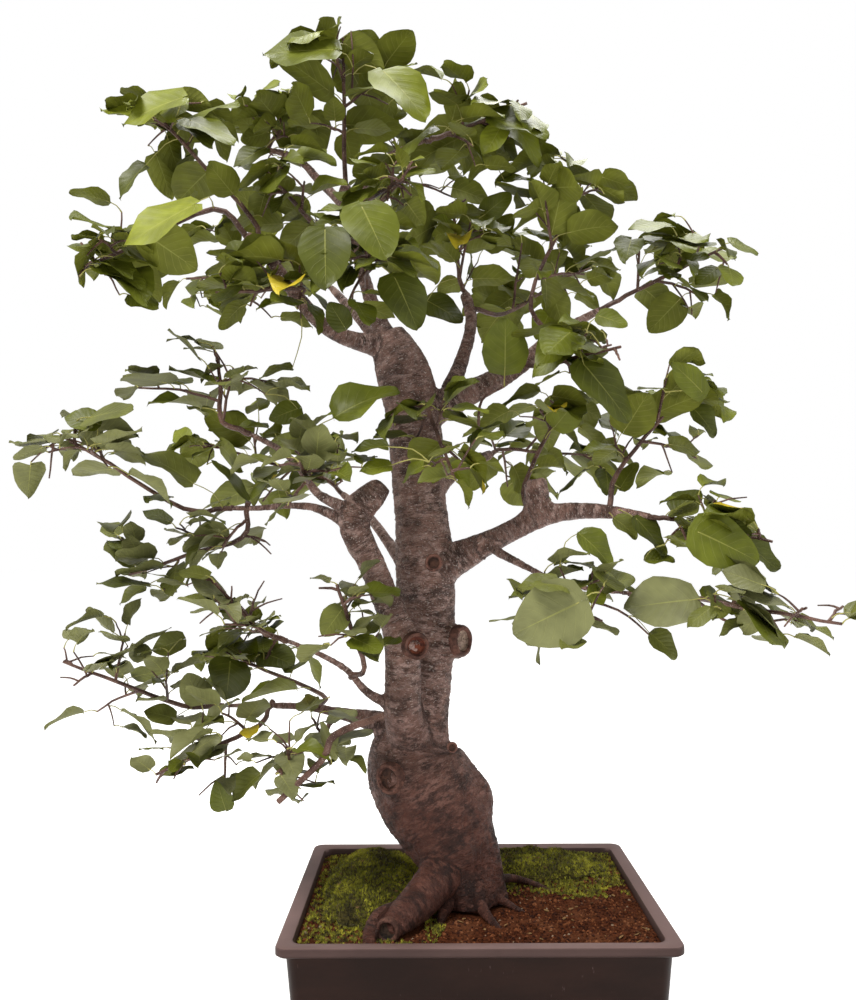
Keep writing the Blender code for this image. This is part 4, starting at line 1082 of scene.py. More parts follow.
def leaf_places(space, number, path, size):
    """For each leaf along one twig, the choices of how it may hang: its stalk, its turn and its length."""
    length = sum((b - a).length for a, b in zip(path, path[1:]))
    count = round(length / by_part(LEAF_GAPS, space.name, 0.03))
    tilt, droop = by_part(LEAF_TILTS, space.name, None)
    for k in range(count + 1):
        chance = random.Random(f"{space.name} {number} {k}")
        place = (LEAF_RUN[0] + LEAF_RUN[1] * (k / count if count else 1)) * (len(path) - 1)
        low = min(int(place), len(path) - 2)
        root = path[low].lerp(path[low + 1], place - low)
        forward = (path[low + 1] - path[low]).normalized()
        side = forward.cross(UP).normalized()
        swing = 1 if k % 2 else -1
        spread = 0.3 if k == count else 1.0
        outward = Vector((root.x - CROWN_AXIS, root.y, 0)).normalized()
        choices = []
        for choice in range(LEAF_CHOICES):
            blade_length = LEAF_LENGTH * size * chance.uniform(*LEAF_SIZES) * (1 - 0.035 * choice)
            way = forward * chance.uniform(0.2, 0.9) + side * swing * spread * chance.uniform(0.6, 1.1)
            way = (way + UP * chance.uniform(-0.2, 0.6)).normalized()
            stalk = blade_length * chance.uniform(*STALK)
            base = root + way * stalk + UP * 0.10 * stalk
            along = (way + UP * chance.uniform(*droop)).normalized()
            lean = Quaternion(UP, chance.uniform(-LEAF_LEAN, LEAF_LEAN)) @ outward
            face = UP + lean * chance.uniform(*tilt)
            across = along.cross(face).normalized()
            out = across.cross(along)
            which = chance.randrange(len(BLADE_SHAPES))
            choices.append((root, base, along, across, out, blade_length, which))
            swing = -swing
            spread = 1.0
        yield choices


def blade_sheet(choice):
    """A leaf as a thin kite, to test for crossings, and the places on its edge."""
    _, base, along, across, out, length, _ = choice
    wide = LEAF_WIDTH * 0.46 * length
    left, right = base + along * 0.45 * length - across * wide, base + along * 0.45 * length + across * wide
    tip = base + along * length - out * 0.12 * length
    corners = [base, left, tip, right]
    return BVHTree.FromPolygons(corners, [(0, 1, 3), (1, 2, 3)]), corners


class Sheets:
    """The leaves that hang so far, to keep others clear of them."""

    def __init__(self):
        self.middles = np.zeros((MOST_LEAVES, 3))
        self.trees = []

    def meets(self, sheet, middle):
        near = np.abs(self.middles[: len(self.trees)] - np.array(middle)).max(axis=1) < LEAF_NEAR
        return any(self.trees[k].overlap(sheet) for k in np.flatnonzero(near))

    def add(self, sheet, middle):
        self.middles[len(self.trees)] = middle
        self.trees.append(sheet)


def tapered(path, foot, tip):
    """A twig's places with its radius at each, from foot to tip."""
    last = len(path) - 1
    return [(place, foot + (tip - foot) * k / last) for k, place in enumerate(path)]


def grow_mass(space, stem, obstacles, sheets):
    """One mass carried to its leaves: its twigs as paths with radii, its stalks and its leaves."""
    chance = random.Random(space.name + " fine")
    size = by_part(LEAF_SCALE, space.name, 1.0)
    inside = stem[0] - (stem[1] - stem[0]).normalized() * STEM_SEAT
    main = bent([inside] + list(stem), 4, 0.0008, chance)
    rows = enumerate(tapered(main, *STEM_RADIUS))
    twigs = [[(place, radius - STEM_FINE * (k / len(main)) ** 2) for k, (place, radius) in rows]]
    first = int(len(main) * 0.50)
    runs = [main[first:]]
    for root, way, reach in shoots_of(space, stem):
        middle = root + way * reach * 0.5 + UP * 0.06 * reach
        path = bent([root, middle, root + way * reach], 3, 0.0006, chance)
        if not all(space.holds(point) for point in path[1:]) or not clear_of(obstacles, path):
            continue
        twigs.append(tapered(path, *SHOOT_RADIUS))
        runs.append(path)
        for fine in twiglets_of(space, path, chance):
            if all(space.holds(point) for point in fine) and clear_of(obstacles, fine[1:]):
                fine = bent(fine, 2, 0.0004, chance)
                twigs.append(tapered(fine, *TWIGLET_RADIUS))
                runs.append(fine)
    leaves = []
    for number, path in enumerate(runs):
        for choices in leaf_places(space, number, path, size):
            for choice in choices:
                sheet, corners = blade_sheet(choice)
                middles = [a.lerp(b, 0.5) for a, b in zip(corners, corners[1:] + corners[:1])]
                if not all(space.holds(point, LEAF_EASE) for point in corners + middles):
                    continue
                if any(in_opening(point) for point in corners + middles):
                    continue
                if sheets.meets(sheet, choice[1]) or not clear_of(obstacles, corners + middles):
                    continue
                if any(tree.overlap(sheet) for tree in obstacles):
                    continue
                sheets.add(sheet, choice[1])
                leaves.append(choice)
                break
    return twigs, leaves


# Single leaves that stand out: foot of the blade, tip, the way it faces, blade, finish.
LONE_LEAVES = [
    ((0.0907, -0.2212, 0.4832), (0.0295, -0.2212, 0.4547), (0.05, -1.0, 0.22), 8, "leaf_grey"),
    ((-0.1581, -0.0677, 1.1163), (-0.2408, -0.0677, 1.1168), (-0.10, -0.85, 0.60), 2, "leaf_green"),
    ((-0.0986, -0.0700, 1.0881), (-0.0478, -0.0900, 1.0280), (0.20, -0.85, 0.50), 0, "leaf_fresh"),
    ((-0.2882, -0.1800, 0.8840), (-0.3566, -0.1900, 0.8428), (-0.30, -0.70, 0.60), 2, "leaf_bright"),
    ((0.0417, -0.0300, 0.7490), (0.0424, -0.0400, 0.8070), (0.10, -0.98, 0.10), 8, "leaf_green"),
    ((-0.1513, -0.1080, 0.6776), (-0.0872, -0.1080, 0.7200), (-0.25, -0.85, 0.40), 3, "leaf_green"),
    ((0.2240, -0.1600, 0.5508), (0.2829, -0.1700, 0.5222), (0.15, -0.90, 0.40), 8, "leaf_green"),
    ((0.1239, -0.0900, 0.7387), (0.1735, -0.1000, 0.6753), (0.30, -0.75, 0.55), 2, "leaf_deep"),
    ((-0.3166, -0.1238, 1.0286), (-0.3852, -0.1238, 1.0064), (-0.20, -0.80, 0.55), 0, "leaf_fresh"),
    ((-0.1562, -0.1525, 0.8690), (-0.1539, -0.1700, 0.8039), (0.00, -0.95, 0.20), 0, "leaf_deep"),
    ((-0.1175, -0.1525, 0.8934), (-0.0903, -0.1700, 0.8333), (0.20, -0.90, 0.30), 2, "leaf_green"),
    ((0.2622, -0.0650, 0.7123), (0.2289, -0.0700, 0.7470), (0.20, -0.85, 0.45), 8, "leaf_green"),
    ((0.0250, -0.0700, 1.0335), (0.0929, -0.0750, 1.0153), (0.15, -0.80, 0.60), 0, "leaf_green"),
    ((0.2113, -0.1760, 0.4832), (0.1439, -0.1760, 0.4775), (0.05, -0.75, 0.65), 2, "leaf_grey"),
    ((-0.4028, -0.1200, 0.6704), (-0.4394, -0.1200, 0.6814), (-0.20, -0.80, 0.60), 0, "leaf_green"),
    ((0.3460, -0.0900, 0.4530), (0.3940, -0.0900, 0.4470), (0.00, -0.35, 0.93), 3, "leaf_dull"),
]
# Single leaves that fill out the front, in the greens of the mass they hang in: foot, tip, facing, blade.
FILL_LEAVES = [
    ((-0.309, -0.090, 0.609), (-0.362, -0.098, 0.651), (0.2, -0.46, 0.69), 1),
    ((0.024, 0.024, 0.957), (0.055, 0.016, 0.982), (-0.2, -0.82, 0.33), 8),
    ((-0.085, -0.100, 0.834), (-0.059, -0.108, 0.776), (0.2, -0.72, 0.43), 2),
    ((-0.377, -0.060, 0.983), (-0.409, -0.068, 0.947), (0.2, -0.45, 0.70), 1),
    ((0.102, -0.165, 0.550), (0.138, -0.173, 0.521), (-0.2, -0.39, 0.76), 1),
    ((-0.143, -0.110, 0.470), (-0.162, -0.118, 0.444), (0.2, -0.79, 0.36), 8),
    ((0.183, -0.072, 0.568), (0.217, -0.080, 0.530), (0.2, -0.50, 0.65), 0),
    ((-0.050, 0.080, 0.863), (-0.003, 0.072, 0.835), (-0.2, -0.60, 0.55), 2),
    ((0.269, -0.005, 0.705), (0.298, -0.013, 0.673), (-0.2, -0.44, 0.71), 1),
    ((0.143, -0.085, 0.795), (0.173, -0.093, 0.783), (-0.2, -0.69, 0.46), 2),
    ((-0.092, -0.130, 0.643), (-0.129, -0.138, 0.643), (0.2, -0.48, 0.67), 1),
    ((-0.353, 0.000, 0.337), (-0.385, -0.008, 0.349), (0.2, -0.55, 0.60), 0),
    ((-0.203, -0.070, 0.741), (-0.240, -0.078, 0.734), (0.2, -0.45, 0.70), 1),
    ((-0.141, -0.100, 0.780), (-0.157, -0.108, 0.806), (-0.2, -0.64, 0.51), 2),
    ((0.173, -0.160, 0.449), (0.200, -0.168, 0.428), (-0.2, -0.47, 0.68), 1),
    ((-0.259, 0.050, 1.057), (-0.300, 0.042, 1.033), (0.2, -0.59, 0.56), 0),
    ((0.047, 0.010, 0.994), (0.083, 0.002, 0.995), (-0.2, -0.50, 0.65), 0),
    ((-0.353, 0.032, 0.426), (-0.388, 0.024, 0.415), (0.2, -0.62, 0.53), 2),
    ((-0.242, -0.045, 0.282), (-0.273, -0.053, 0.257), (0.2, -0.36, 0.79), 6),
    ((-0.279, -0.045, 0.243), (-0.289, -0.053, 0.276), (-0.2, -0.49, 0.66), 1),
    ((-0.202, -0.038, 0.700), (-0.234, -0.046, 0.687), (0.2, -0.75, 0.40), 8),
    ((-0.090, -0.130, 0.623), (-0.121, -0.138, 0.619), (0.2, -0.53, 0.62), 0),
    ((0.181, -0.005, 0.608), (0.198, -0.013, 0.639), (-0.2, -0.53, 0.62), 0),
    ((0.158, -0.072, 0.569), (0.184, -0.080, 0.550), (-0.2, -0.45, 0.70), 1),
    ((0.191, -0.072, 0.522), (0.222, -0.080, 0.527), (-0.2, -0.43, 0.72), 1),
    ((-0.386, -0.010, 0.493), (-0.416, -0.018, 0.477), (0.2, -0.45, 0.70), 1),
]
# Twigs without leaves: places along each, radius at its foot and at its end.
BARE_TWIGS = [
    ([(-0.1394, -0.030, 1.0892), (-0.1382, -0.030, 1.1267), (-0.1407, -0.030, 1.1632)], 0.0015, 0.0009),
    ([(-0.1000, -0.090, 0.3560), (-0.1470, -0.130, 0.3435), (-0.1603, -0.130, 0.3181),
      (-0.2055, -0.130, 0.2758)], 0.0040, 0.0031),
    ([(0.2354, -0.0900, 0.4829), (0.2835, -0.0900, 0.4521), (0.3400, -0.0900, 0.4575),
      (0.3540, -0.0900, 0.4530)], 0.0020, 0.0011),
    ([(0.0955, -0.1000, 0.4849), (0.1500, -0.1200, 0.4700), (0.1885, -0.1200, 0.4385)], 0.0018, 0.0010),
    ([(0.0075, -0.0600, 0.6707), (0.0124, -0.0600, 0.7053), (0.0388, -0.0500, 0.7224)], 0.0019, 0.0011),
]


def lone_leaves(sheets):
    """The single leaves, hung before the others so that these keep clear."""
    chance = random.Random("single leaves")
    rows = list(LONE_LEAVES)
    for foot, tip, face, which in FILL_LEAVES:
        home = min(SPACES, key=lambda space: space.depth(Vector(foot)))
        greens = by_part(LEAF_FINISHES, home.name, ["leaf_green"])
        rows.append((foot, tip, face, which, chance.choice(greens)))
    hung = []
    for foot, tip, face, which, finish in rows:
        foot, tip = Vector(foot), Vector(tip)
        along = (tip - foot).normalized()
        across = along.cross(Vector(face)).normalized()
        choice = (foot, foot, along, across, across.cross(along), (tip - foot).length, which)
        sheet, _ = blade_sheet(choice)
        sheets.add(sheet, foot)
        hung.append((choice, finish))
    return hung


def stalk_to(choice, finder, places):
    """The leaf with its stalk joined to the nearest twig."""
    root = places[finder.find(choice[1] - choice[2] * 0.02)[1]]
    return (root, *choice[1:])


def leaf_matrix(choice):
    _, base, along, across, out, length, _ = choice
    turn = Matrix((across, along, out)).transposed().to_4x4()
    return set_down(base, turn, length)


def build_foliage():
    limbs = {name: tree_of(obj) for name, obj in frame["nodes"].items()
             if name in BOUGHS or name in ("trunk", "second_stem")}
    stems, stem_trees = {}, {}
    for space in SPACES:
        stems[space.name] = stem_path(space, limbs, stem_trees)
        stem_trees[space.name] = sheet_of(stems[space.name][1:], STEM_RADIUS[0])
    shapes = [blade(number, *values) for number, values in enumerate(BLADE_SHAPES)]
    veins = leaf_veins()
    uppers = {name: leaf_material(name, colour, 0.45, veins, 0.10, 0.06)
              for name, colour in LEAF_COLOURS.items()}
    unders = [leaf_material(name, colour, 0.62, veins, 0.22, 0.0) for name, colour in UNDERSIDES.items()]
    stalk = new_material("leaf_stalk", STALK_COLOUR, 0.5)[0]
    twig = twig_material()
    finishes = list(uppers)
    materials = list(uppers.values()) + unders
    parts = {"apex": [], "upper": [], "mid": [], "low": [], "back": []}
    all_twigs, stalks = [], []
    sheets = Sheets()
    lone = lone_leaves(sheets)
    hung = []
    for space in SPACES:
        others = [tree for name, tree in stem_trees.items() if name != space.name]
        twigs, leaves = grow_mass(space, stems[space.name], list(limbs.values()) + others, sheets)
        all_twigs += twigs
        greens = by_part(LEAF_FINISHES, space.name, ["leaf_green"])
        chance = random.Random(space.name + " tints")
        part = space.name.split("_")[1]
        for choice in leaves:
            green = greens[min(int(chance.triangular(0, len(greens), 0.42 * len(greens))), len(greens) - 1)]
            if chance.random() < YELLOW_LEAVES:
                green = "leaf_yellow"
            # Leaves of the lower masses take the grey underside, painted sheen; the others take the warm one,
            # painted light coming through.
            grey = space.name.startswith(SHEEN_BELOW)
            hung.append((choice, green, grey, "mid" if part == "centre" else part))
    for places, thick, thin in BARE_TWIGS:
        path = smooth_curve([(*place, 0) for place in places], 4)
        all_twigs.append(tapered([row.xyz for row in path], thick, thin))
    places = [place for rows in all_twigs for place, _ in rows]
    finder = finder_of(places)
    hung += [(stalk_to(choice, finder, places), finish, False, "mid") for choice, finish in lone]
    for choice, green, grey, part in hung:
        table = [finishes.index(green), len(uppers) + grey]
        parts[part].append((choice[-1], leaf_matrix(choice), table))
        root, base, along, _, _, length, _ = choice
        reach = (base - root).length
        bow = root.lerp(base, 0.5) + UP * 0.12 * reach - along * 0.10 * reach
        path = smooth_curve([(*p, 0) for p in (root, bow, base)], 2)
        widths = [STALK_RADIUS * w for w in (1.5, 1.1, 1.0, 0.95, 0.9)]
        end = (base + along * 0.04 * length, STALK_RADIUS * 0.6)
        stalks.append([(row.xyz, width) for row, width in zip(path, widths)] + [end])
    for part, placed in parts.items():
        nodes = [name for name in MASSES if name.split("_")[1] == part
                 or (part == "mid" and name.startswith("leaves_centre"))]
        leaves = joined(f"{part}_leaves", shapes, placed, materials, 70)
        settle(leaves, "leaf_green", *nodes)
    settle(tubes("twigs", all_twigs, 6, twig), "bark")
    settle(tubes("leaf_stalks", stalks, 4, stalk), "leaf_green")


def twig_material():
    """Young bark: red-brown with pale dots."""
    made, tree, shader = new_material("twig_bark", TWIG_COLOURS[1], 0.5)
    place = object_vector(tree)
    patches = speckle(tree, place, 60.0, 3.0)
    dots = speckle(tree, place, 900.0, 1.0)
    colour = mix(tree, ramp(tree, patches, 0.35, 0.65), *TWIG_COLOURS)
    colour = mix(tree, maths(tree, "MULTIPLY", ramp(tree, dots, 0.66, 0.74), 0.6), colour, LENTICEL)
    tree.links.new(colour, shader.inputs["Base Color"])
    add_bump(tree, shader, dots, 0.0003)
    return made


# ---------------------------------------------------------------- pot

PLASTIC = (0.0150, 0.0062, 0.0042)
# Pale colour of the rim where it is dusty and where its upward faces carry a painted sheen, and of scuffs.
RIM_DUST_AND_SHEEN = (0.235, 0.155, 0.145)


def box_ring(bm, face, width, depth, height):
    """Steps a level face on: a new ring of sides out to a wider or narrower outline at a height."""
    bmesh.ops.inset_individual(bm, faces=[face], thickness=0.0)
    low = [min(v.co[k] for v in face.verts) for k in (0, 1)]
    high = [max(v.co[k] for v in face.verts) for k in (0, 1)]
    for vertex in face.verts:
        for k, size in ((0, width), (1, depth)):
            middle = (low[k] + high[k]) / 2
            edge = (high[k] - low[k]) / 2
            away = vertex.co[k] - middle
            # straight sides move out or in by the same amount, and the corner's arc keeps its shape
            vertex.co[k] = math.copysign(abs(away) + size / 2 - edge, away)
        vertex.co.z = height


def pot_profile():
    """The wall's outlines from its foot, over the rim and down inside: width less the pot's, height."""
    under_rim = POT_HEIGHT - FLANGE_DROP
    foot = 2 * (FLANGE + POT_TAPER)
    return [
        (foot, 0.003),
        (2 * FLANGE + 0.0016, under_rim - 0.0035),
        (2 * FLANGE - 0.0005, under_rim - 0.0010),
        (0.0030, under_rim),
        (0.0, under_rim + 0.0016),
        (0.0, POT_HEIGHT - 0.0022),
        (0.0016, POT_HEIGHT - 0.0006),
        (0.0050, POT_HEIGHT),
        (2 * FLANGE + 2 * POT_WALL - 0.0080, POT_HEIGHT - 0.0004),
        (2 * FLANGE + 2 * POT_WALL - 0.0030, POT_HEIGHT - 0.0018),
        (2 * FLANGE + 2 * POT_WALL, POT_HEIGHT - 0.0050),
        (foot + 2 * POT_WALL, POT_FLOOR),
    ]


def build_pot():
    bm = bmesh.new()
    inset = 2 * (FLANGE + POT_TAPER) + 0.004
    bmesh.ops.create_cube(bm, size=1.0)
    bmesh.ops.scale(bm, vec=(POT_WIDTH - inset, POT_DEPTH - inset, 0.001), verts=bm.verts)
    bmesh.ops.translate(bm, vec=(0, 0, 0.0005), verts=bm.verts)
    upright = [edge for edge in bm.edges if abs(edge.verts[0].co.z - edge.verts[1].co.z) > 0.0005]
    bmesh.ops.bevel(bm, geom=upright, offset=POT_CORNER, segments=7, profile=0.5, affect="EDGES", material=-1)
    top = max((face for face in bm.faces if face.normal.z > 0.5), key=lambda face: face.calc_area())
    for less, height in pot_profile():
        box_ring(bm, top, POT_WIDTH - less, POT_DEPTH - less, height)
    bmesh.ops.recalc_face_normals(bm, faces=bm.faces)
    pot = object_from(bm, "training_pot", pot_material(), smooth=35)
    for sx in (-1, 1):
        for sy in (-1, 1):
            cutter = bmesh.new()
            bmesh.ops.create_cone(cutter, cap_ends=True, segments=24, radius1=DRAIN_RADIUS,
                                  radius2=DRAIN_RADIUS, depth=0.03)
            centre = (sx * DRAIN_SPACING[0], sy * DRAIN_SPACING[1], 0)
            bmesh.ops.translate(cutter, vec=centre, verts=cutter.verts)
            drain = object_from(cutter, "drain")
            hole = pot.modifiers.new("drain", "BOOLEAN")
            hole.operation = "DIFFERENCE"
            hole.object = drain
            apply_modifiers(pot)
            bpy.data.objects.remove(drain, do_unlink=True)
    settle(pot, "pot_plastic", "pot")


def pot_material():
    """Moulded plastic: a fine grain, scuffs, and a rim made lighter where it is dusty and by a painted sheen
    on its upward faces.
    """
    made, tree, shader = new_material("pot_plastic", PLASTIC, 0.50, Specular_IOR_Level=0.08)
    place = object_vector(tree)
    height = height_of(tree, place)
    drift = speckle(tree, stretched(tree, place, (9, 9, 30)), 1.0, 4.0, 0.6)
    scuffs = speckle(tree, stretched(tree, place, (160, 160, 40)), 1.0, 5.0, 0.7)
    grain = speckle(tree, place, 1500.0, 2.0)
    colour = mix(tree, ramp(tree, drift, 0.35, 0.68), scaled(PLASTIC, 0.82), scaled(PLASTIC, 1.25))
    # How far each face turns up: the rim's upward faces are made lighter, a painted sheen of the light from
    # above on top of the dusty colour.
    level = height_of(tree, node(tree, "ShaderNodeNewGeometry").outputs["Normal"])
    lies = maths(tree, "MULTIPLY_ADD", ramp(tree, level, 0.2, 0.9), 0.50, 0.22)
    rim = ramp(tree, height, POT_HEIGHT - FLANGE_DROP - 0.001, POT_HEIGHT - 0.006)
    dust_and_sheen = maths(tree, "MULTIPLY", rim, lies)
    dust_and_sheen = maths(tree, "MULTIPLY", dust_and_sheen, maths(tree, "MULTIPLY_ADD", drift, 1.0, 0.45))
    colour = mix(tree, dust_and_sheen, colour, RIM_DUST_AND_SHEEN)
    colour = mix(tree, maths(tree, "MULTIPLY", ramp(tree, scuffs, 0.66, 0.74), 0.35), colour, RIM_DUST_AND_SHEEN)
    tree.links.new(colour, shader.inputs["Base Color"])
    tree.links.new(maths(tree, "MULTIPLY_ADD", drift, 0.25, 0.30), shader.inputs["Roughness"])
    add_bump(tree, shader, grain, 0.00012, 0.6)
    return made


# ---------------------------------------------------------------- soil and moss

SOIL_TONES = ((0.026, 0.008, 0.004), (0.086, 0.025, 0.010), (0.150, 0.056, 0.025))
SOIL_STEP = 0.0022
GRANULES = 5200
GRANULE_SIZE = (0.0007, 0.0019)
GRANULE_SHAPES = 5
MOSS_TONES = {
    "moss_deep": (0.058, 0.046, 0.008),
    "moss_green": (0.190, 0.185, 0.013),
    "moss_tip": (0.400, 0.380, 0.036),
}
MOSS_STEP = 0.0023
MOSS_VOXEL = 0.0028
TUFT_SHAPES = 6
BLADES_IN_TUFT = 7


def inside_pot(height, clear):
    """Half width and half depth of the pot's inside at a height, less a clearance."""
    lean = POT_TAPER * (1 - min(height, POT_HEIGHT - FLANGE_DROP) / (POT_HEIGHT - FLANGE_DROP))
    less = FLANGE + lean + POT_WALL + clear
    return POT_WIDTH / 2 - less, POT_DEPTH / 2 - less


def soil_height(x, y):
    """The soil's surface: nearly level, with mounds, lower by the pot's wall."""
    wide, deep = inside_pot(SOIL_EDGE, 0)
    edge = min(wide - abs(x), deep - abs(y))
    low = (SOIL_TOP - SOIL_EDGE) * (1 - min(1.0, edge / 0.024)) ** 2
    mound = 0.0016 * noise.noise(Vector((x * 28, y * 28, 0)))
    crumb = 0.0011 * noise.noise(Vector((x * 210, y * 210, 3)))
    return SOIL_TOP - 0.0012 - low + mound + crumb


def soil_material(name, tones):
    made, tree, shader = new_material(name, tones[1], 0.95, Specular_IOR_Level=0.05)
    place = object_vector(tree)
    crumbs = speckle(tree, place, 380.0, 4.0, 0.65)
    patches = speckle(tree, place, 30.0, 3.0)
    colour = mix(tree, ramp(tree, crumbs, 0.36, 0.62), tones[0], tones[1])
    colour = mix(tree, maths(tree, "MULTIPLY", ramp(tree, patches, 0.45, 0.70), 0.45), colour, tones[2])
    tree.links.new(colour, shader.inputs["Base Color"])
    add_bump(tree, shader, crumbs, 0.0012)
    return made


def build_soil():
    wide, deep = inside_pot(SOIL_EDGE, GAP)
    bm = bmesh.new()
    steps = [round(2 * half / SOIL_STEP) for half in (wide, deep)]
    bmesh.ops.create_grid(bm, x_segments=steps[0], y_segments=steps[1], size=1)
    bmesh.ops.scale(bm, vec=(wide, deep, 1), verts=bm.verts)
    for vertex in bm.verts:
        vertex.co.z = soil_height(vertex.co.x, vertex.co.y)
    rim = [edge for edge in bm.edges if edge.is_boundary]
    sides = bmesh.ops.extrude_edge_only(bm, edges=rim)["geom"]
    floor_wide, floor_deep = inside_pot(POT_FLOOR, GAP)
    for vertex in (part for part in sides if isinstance(part, bmesh.types.BMVert)):
        vertex.co.x *= floor_wide / wide
        vertex.co.y *= floor_deep / deep
        vertex.co.z = POT_FLOOR + GAP
    bmesh.ops.holes_fill(bm, edges=[edge for edge in bm.edges if edge.is_boundary])
    bmesh.ops.recalc_face_normals(bm, faces=bm.faces)
    soil = soil_material("soil", SOIL_TONES)
    settle(object_from(bm, "potting_soil", soil), "soil", "soil")
    grit = [soil,
            soil_material("soil_dark", ((0.014, 0.006, 0.005), (0.045, 0.016, 0.010), (0.07, 0.03, 0.02))),
            soil_material("soil_pale", ((0.10, 0.034, 0.014), (0.20, 0.070, 0.030), (0.27, 0.12, 0.06))),
            soil_material("grit_pale", ((0.16, 0.11, 0.07), (0.30, 0.22, 0.15), (0.42, 0.34, 0.26)))]
    shapes = [granule(seed) for seed in range(GRANULE_SHAPES)]
    chance = random.Random("granules")
    placed = []
    trunk = tree_of(frame["nodes"]["trunk"])
    moss = [tree_of(frame["nodes"][name]) for name in ("moss_left", "moss_right")]
    while len(placed) < GRANULES:
        x, y = chance.uniform(-wide, wide) * 0.985, chance.uniform(-deep, deep) * 0.98
        place = Vector((x, y, soil_height(x, y)))
        if any(tree.find_nearest(place, 0.004)[0] for tree in (trunk, *moss)):
            continue
        if inside_solid(moss, place):
            continue
        size = chance.uniform(*GRANULE_SIZE) * (1.7 if chance.random() < 0.05 else 1.0)
        slot = chance.choices(range(4), (0.55, 0.20, 0.235, 0.015))[0]
        angle = chance.uniform(0, math.tau)
        turn = Matrix.Rotation(angle, 4, Vector((chance.random(), chance.random(), 1)).normalized())
        placed.append((chance.randrange(GRANULE_SHAPES), set_down(place, turn, size), [slot]))
    settle(joined("soil_granules", shapes, placed, grit), "soil")


def inside_solid(trees, point):
    """Whether a point lies under the surface of one of the solids."""
    for tree in trees:
        near, normal, _, _ = tree.find_nearest(point)
        if (point - near).dot(normal) < 0 and point.z > near.z - 0.05:
            hit = tree.ray_cast(point + UP * 0.1, -UP, 0.1)
            if hit[0] is not None:
                return True
    return False


# Bits of dead leaf and bark that lie on the soil and the moss.
LITTER = 150
LITTER_TONES = {"litter_tan": (0.230, 0.135, 0.060), "litter_brown": (0.085, 0.040, 0.020)}


def build_litter(shapes):
    """Flat bits dropped from above on to whatever lies under them."""
    chance = random.Random("litter")
    ground = [tree_of(obj) for obj in bpy.data.objects
              if obj.name.startswith(("moss_cushion", "potting_soil"))]
    trunk = tree_of(frame["nodes"]["trunk"])
    finishes = [soil_material(name, (scaled(tone, 0.6), tone, scaled(tone, 1.3)))
                for name, tone in LITTER_TONES.items()]
    wide, deep = inside_pot(SOIL_EDGE, 0.006)
    placed = []
    while len(placed) < LITTER:
        over = Vector((chance.uniform(-wide, wide), chance.uniform(-deep, deep), 0.3))
        hits = [tree.ray_cast(over, -UP)[0] for tree in ground]
        place = max((hit for hit in hits if hit is not None), key=lambda hit: hit.z)
        if trunk.find_nearest(place, 0.006)[0] is not None:
            continue
        lean = Matrix.Rotation(chance.uniform(-0.4, 0.4), 4, "X")
        tilt = lean @ Matrix.Rotation(chance.uniform(-0.4, 0.4), 4, "Y")
        turn = Matrix.Rotation(chance.uniform(0, math.tau), 4, "Z") @ tilt
        size = Matrix.Diagonal((chance.uniform(0.0016, 0.0042), chance.uniform(0.0007, 0.0016), 0.00045, 1))
        place = place + UP * chance.uniform(0.0006, 0.0024)
        which = chance.randrange(GRANULE_SHAPES)
        placed.append((which, Matrix.Translation(place) @ turn @ size, [chance.choice((0, 0, 1))]))
    settle(joined("litter", shapes, placed, finishes), "soil")


def granule(seed):
    bm = bmesh.new()
    bmesh.ops.create_icosphere(bm, subdivisions=1, radius=1.0)
    for vertex in bm.verts:
        vertex.co *= 1 + 0.35 * noise.noise(vertex.co * 1.7 + Vector((seed * 5.0, 0, 0)))
    return arrays_of(bm)


def moss_material(name, colour):
    made, tree, shader = new_material(name, colour, 0.85, Sheen_Weight=0.15)
    shades = speckle(tree, object_vector(tree), 120.0, 3.0)
    tint = mix(tree, ramp(tree, shades, 0.35, 0.65), scaled(colour, 0.6), scaled(colour, 1.3))
    tree.links.new(tint, shader.inputs["Base Color"])
    return made


def tuft(seed):
    """A tuft of moss: short pointed blades that lean out from one foot."""
    chance = random.Random(seed)
    bm = bmesh.new()
    for _ in range(BLADES_IN_TUFT):
        made = bmesh.ops.create_cone(bm, cap_ends=True, segments=3, radius1=0.15, radius2=0.0,
                                     depth=chance.uniform(0.8, 1.3))["verts"]
        bmesh.ops.translate(bm, vec=(0, 0, 0.45), verts=made)
        lean = Matrix.Rotation(chance.uniform(0.1, 0.75), 3, "X")
        spin = Matrix.Rotation(chance.uniform(0, math.tau), 3, "Z")
        bmesh.ops.transform(bm, matrix=(spin @ lean).to_4x4(), verts=made)
    return arrays_of(bm)


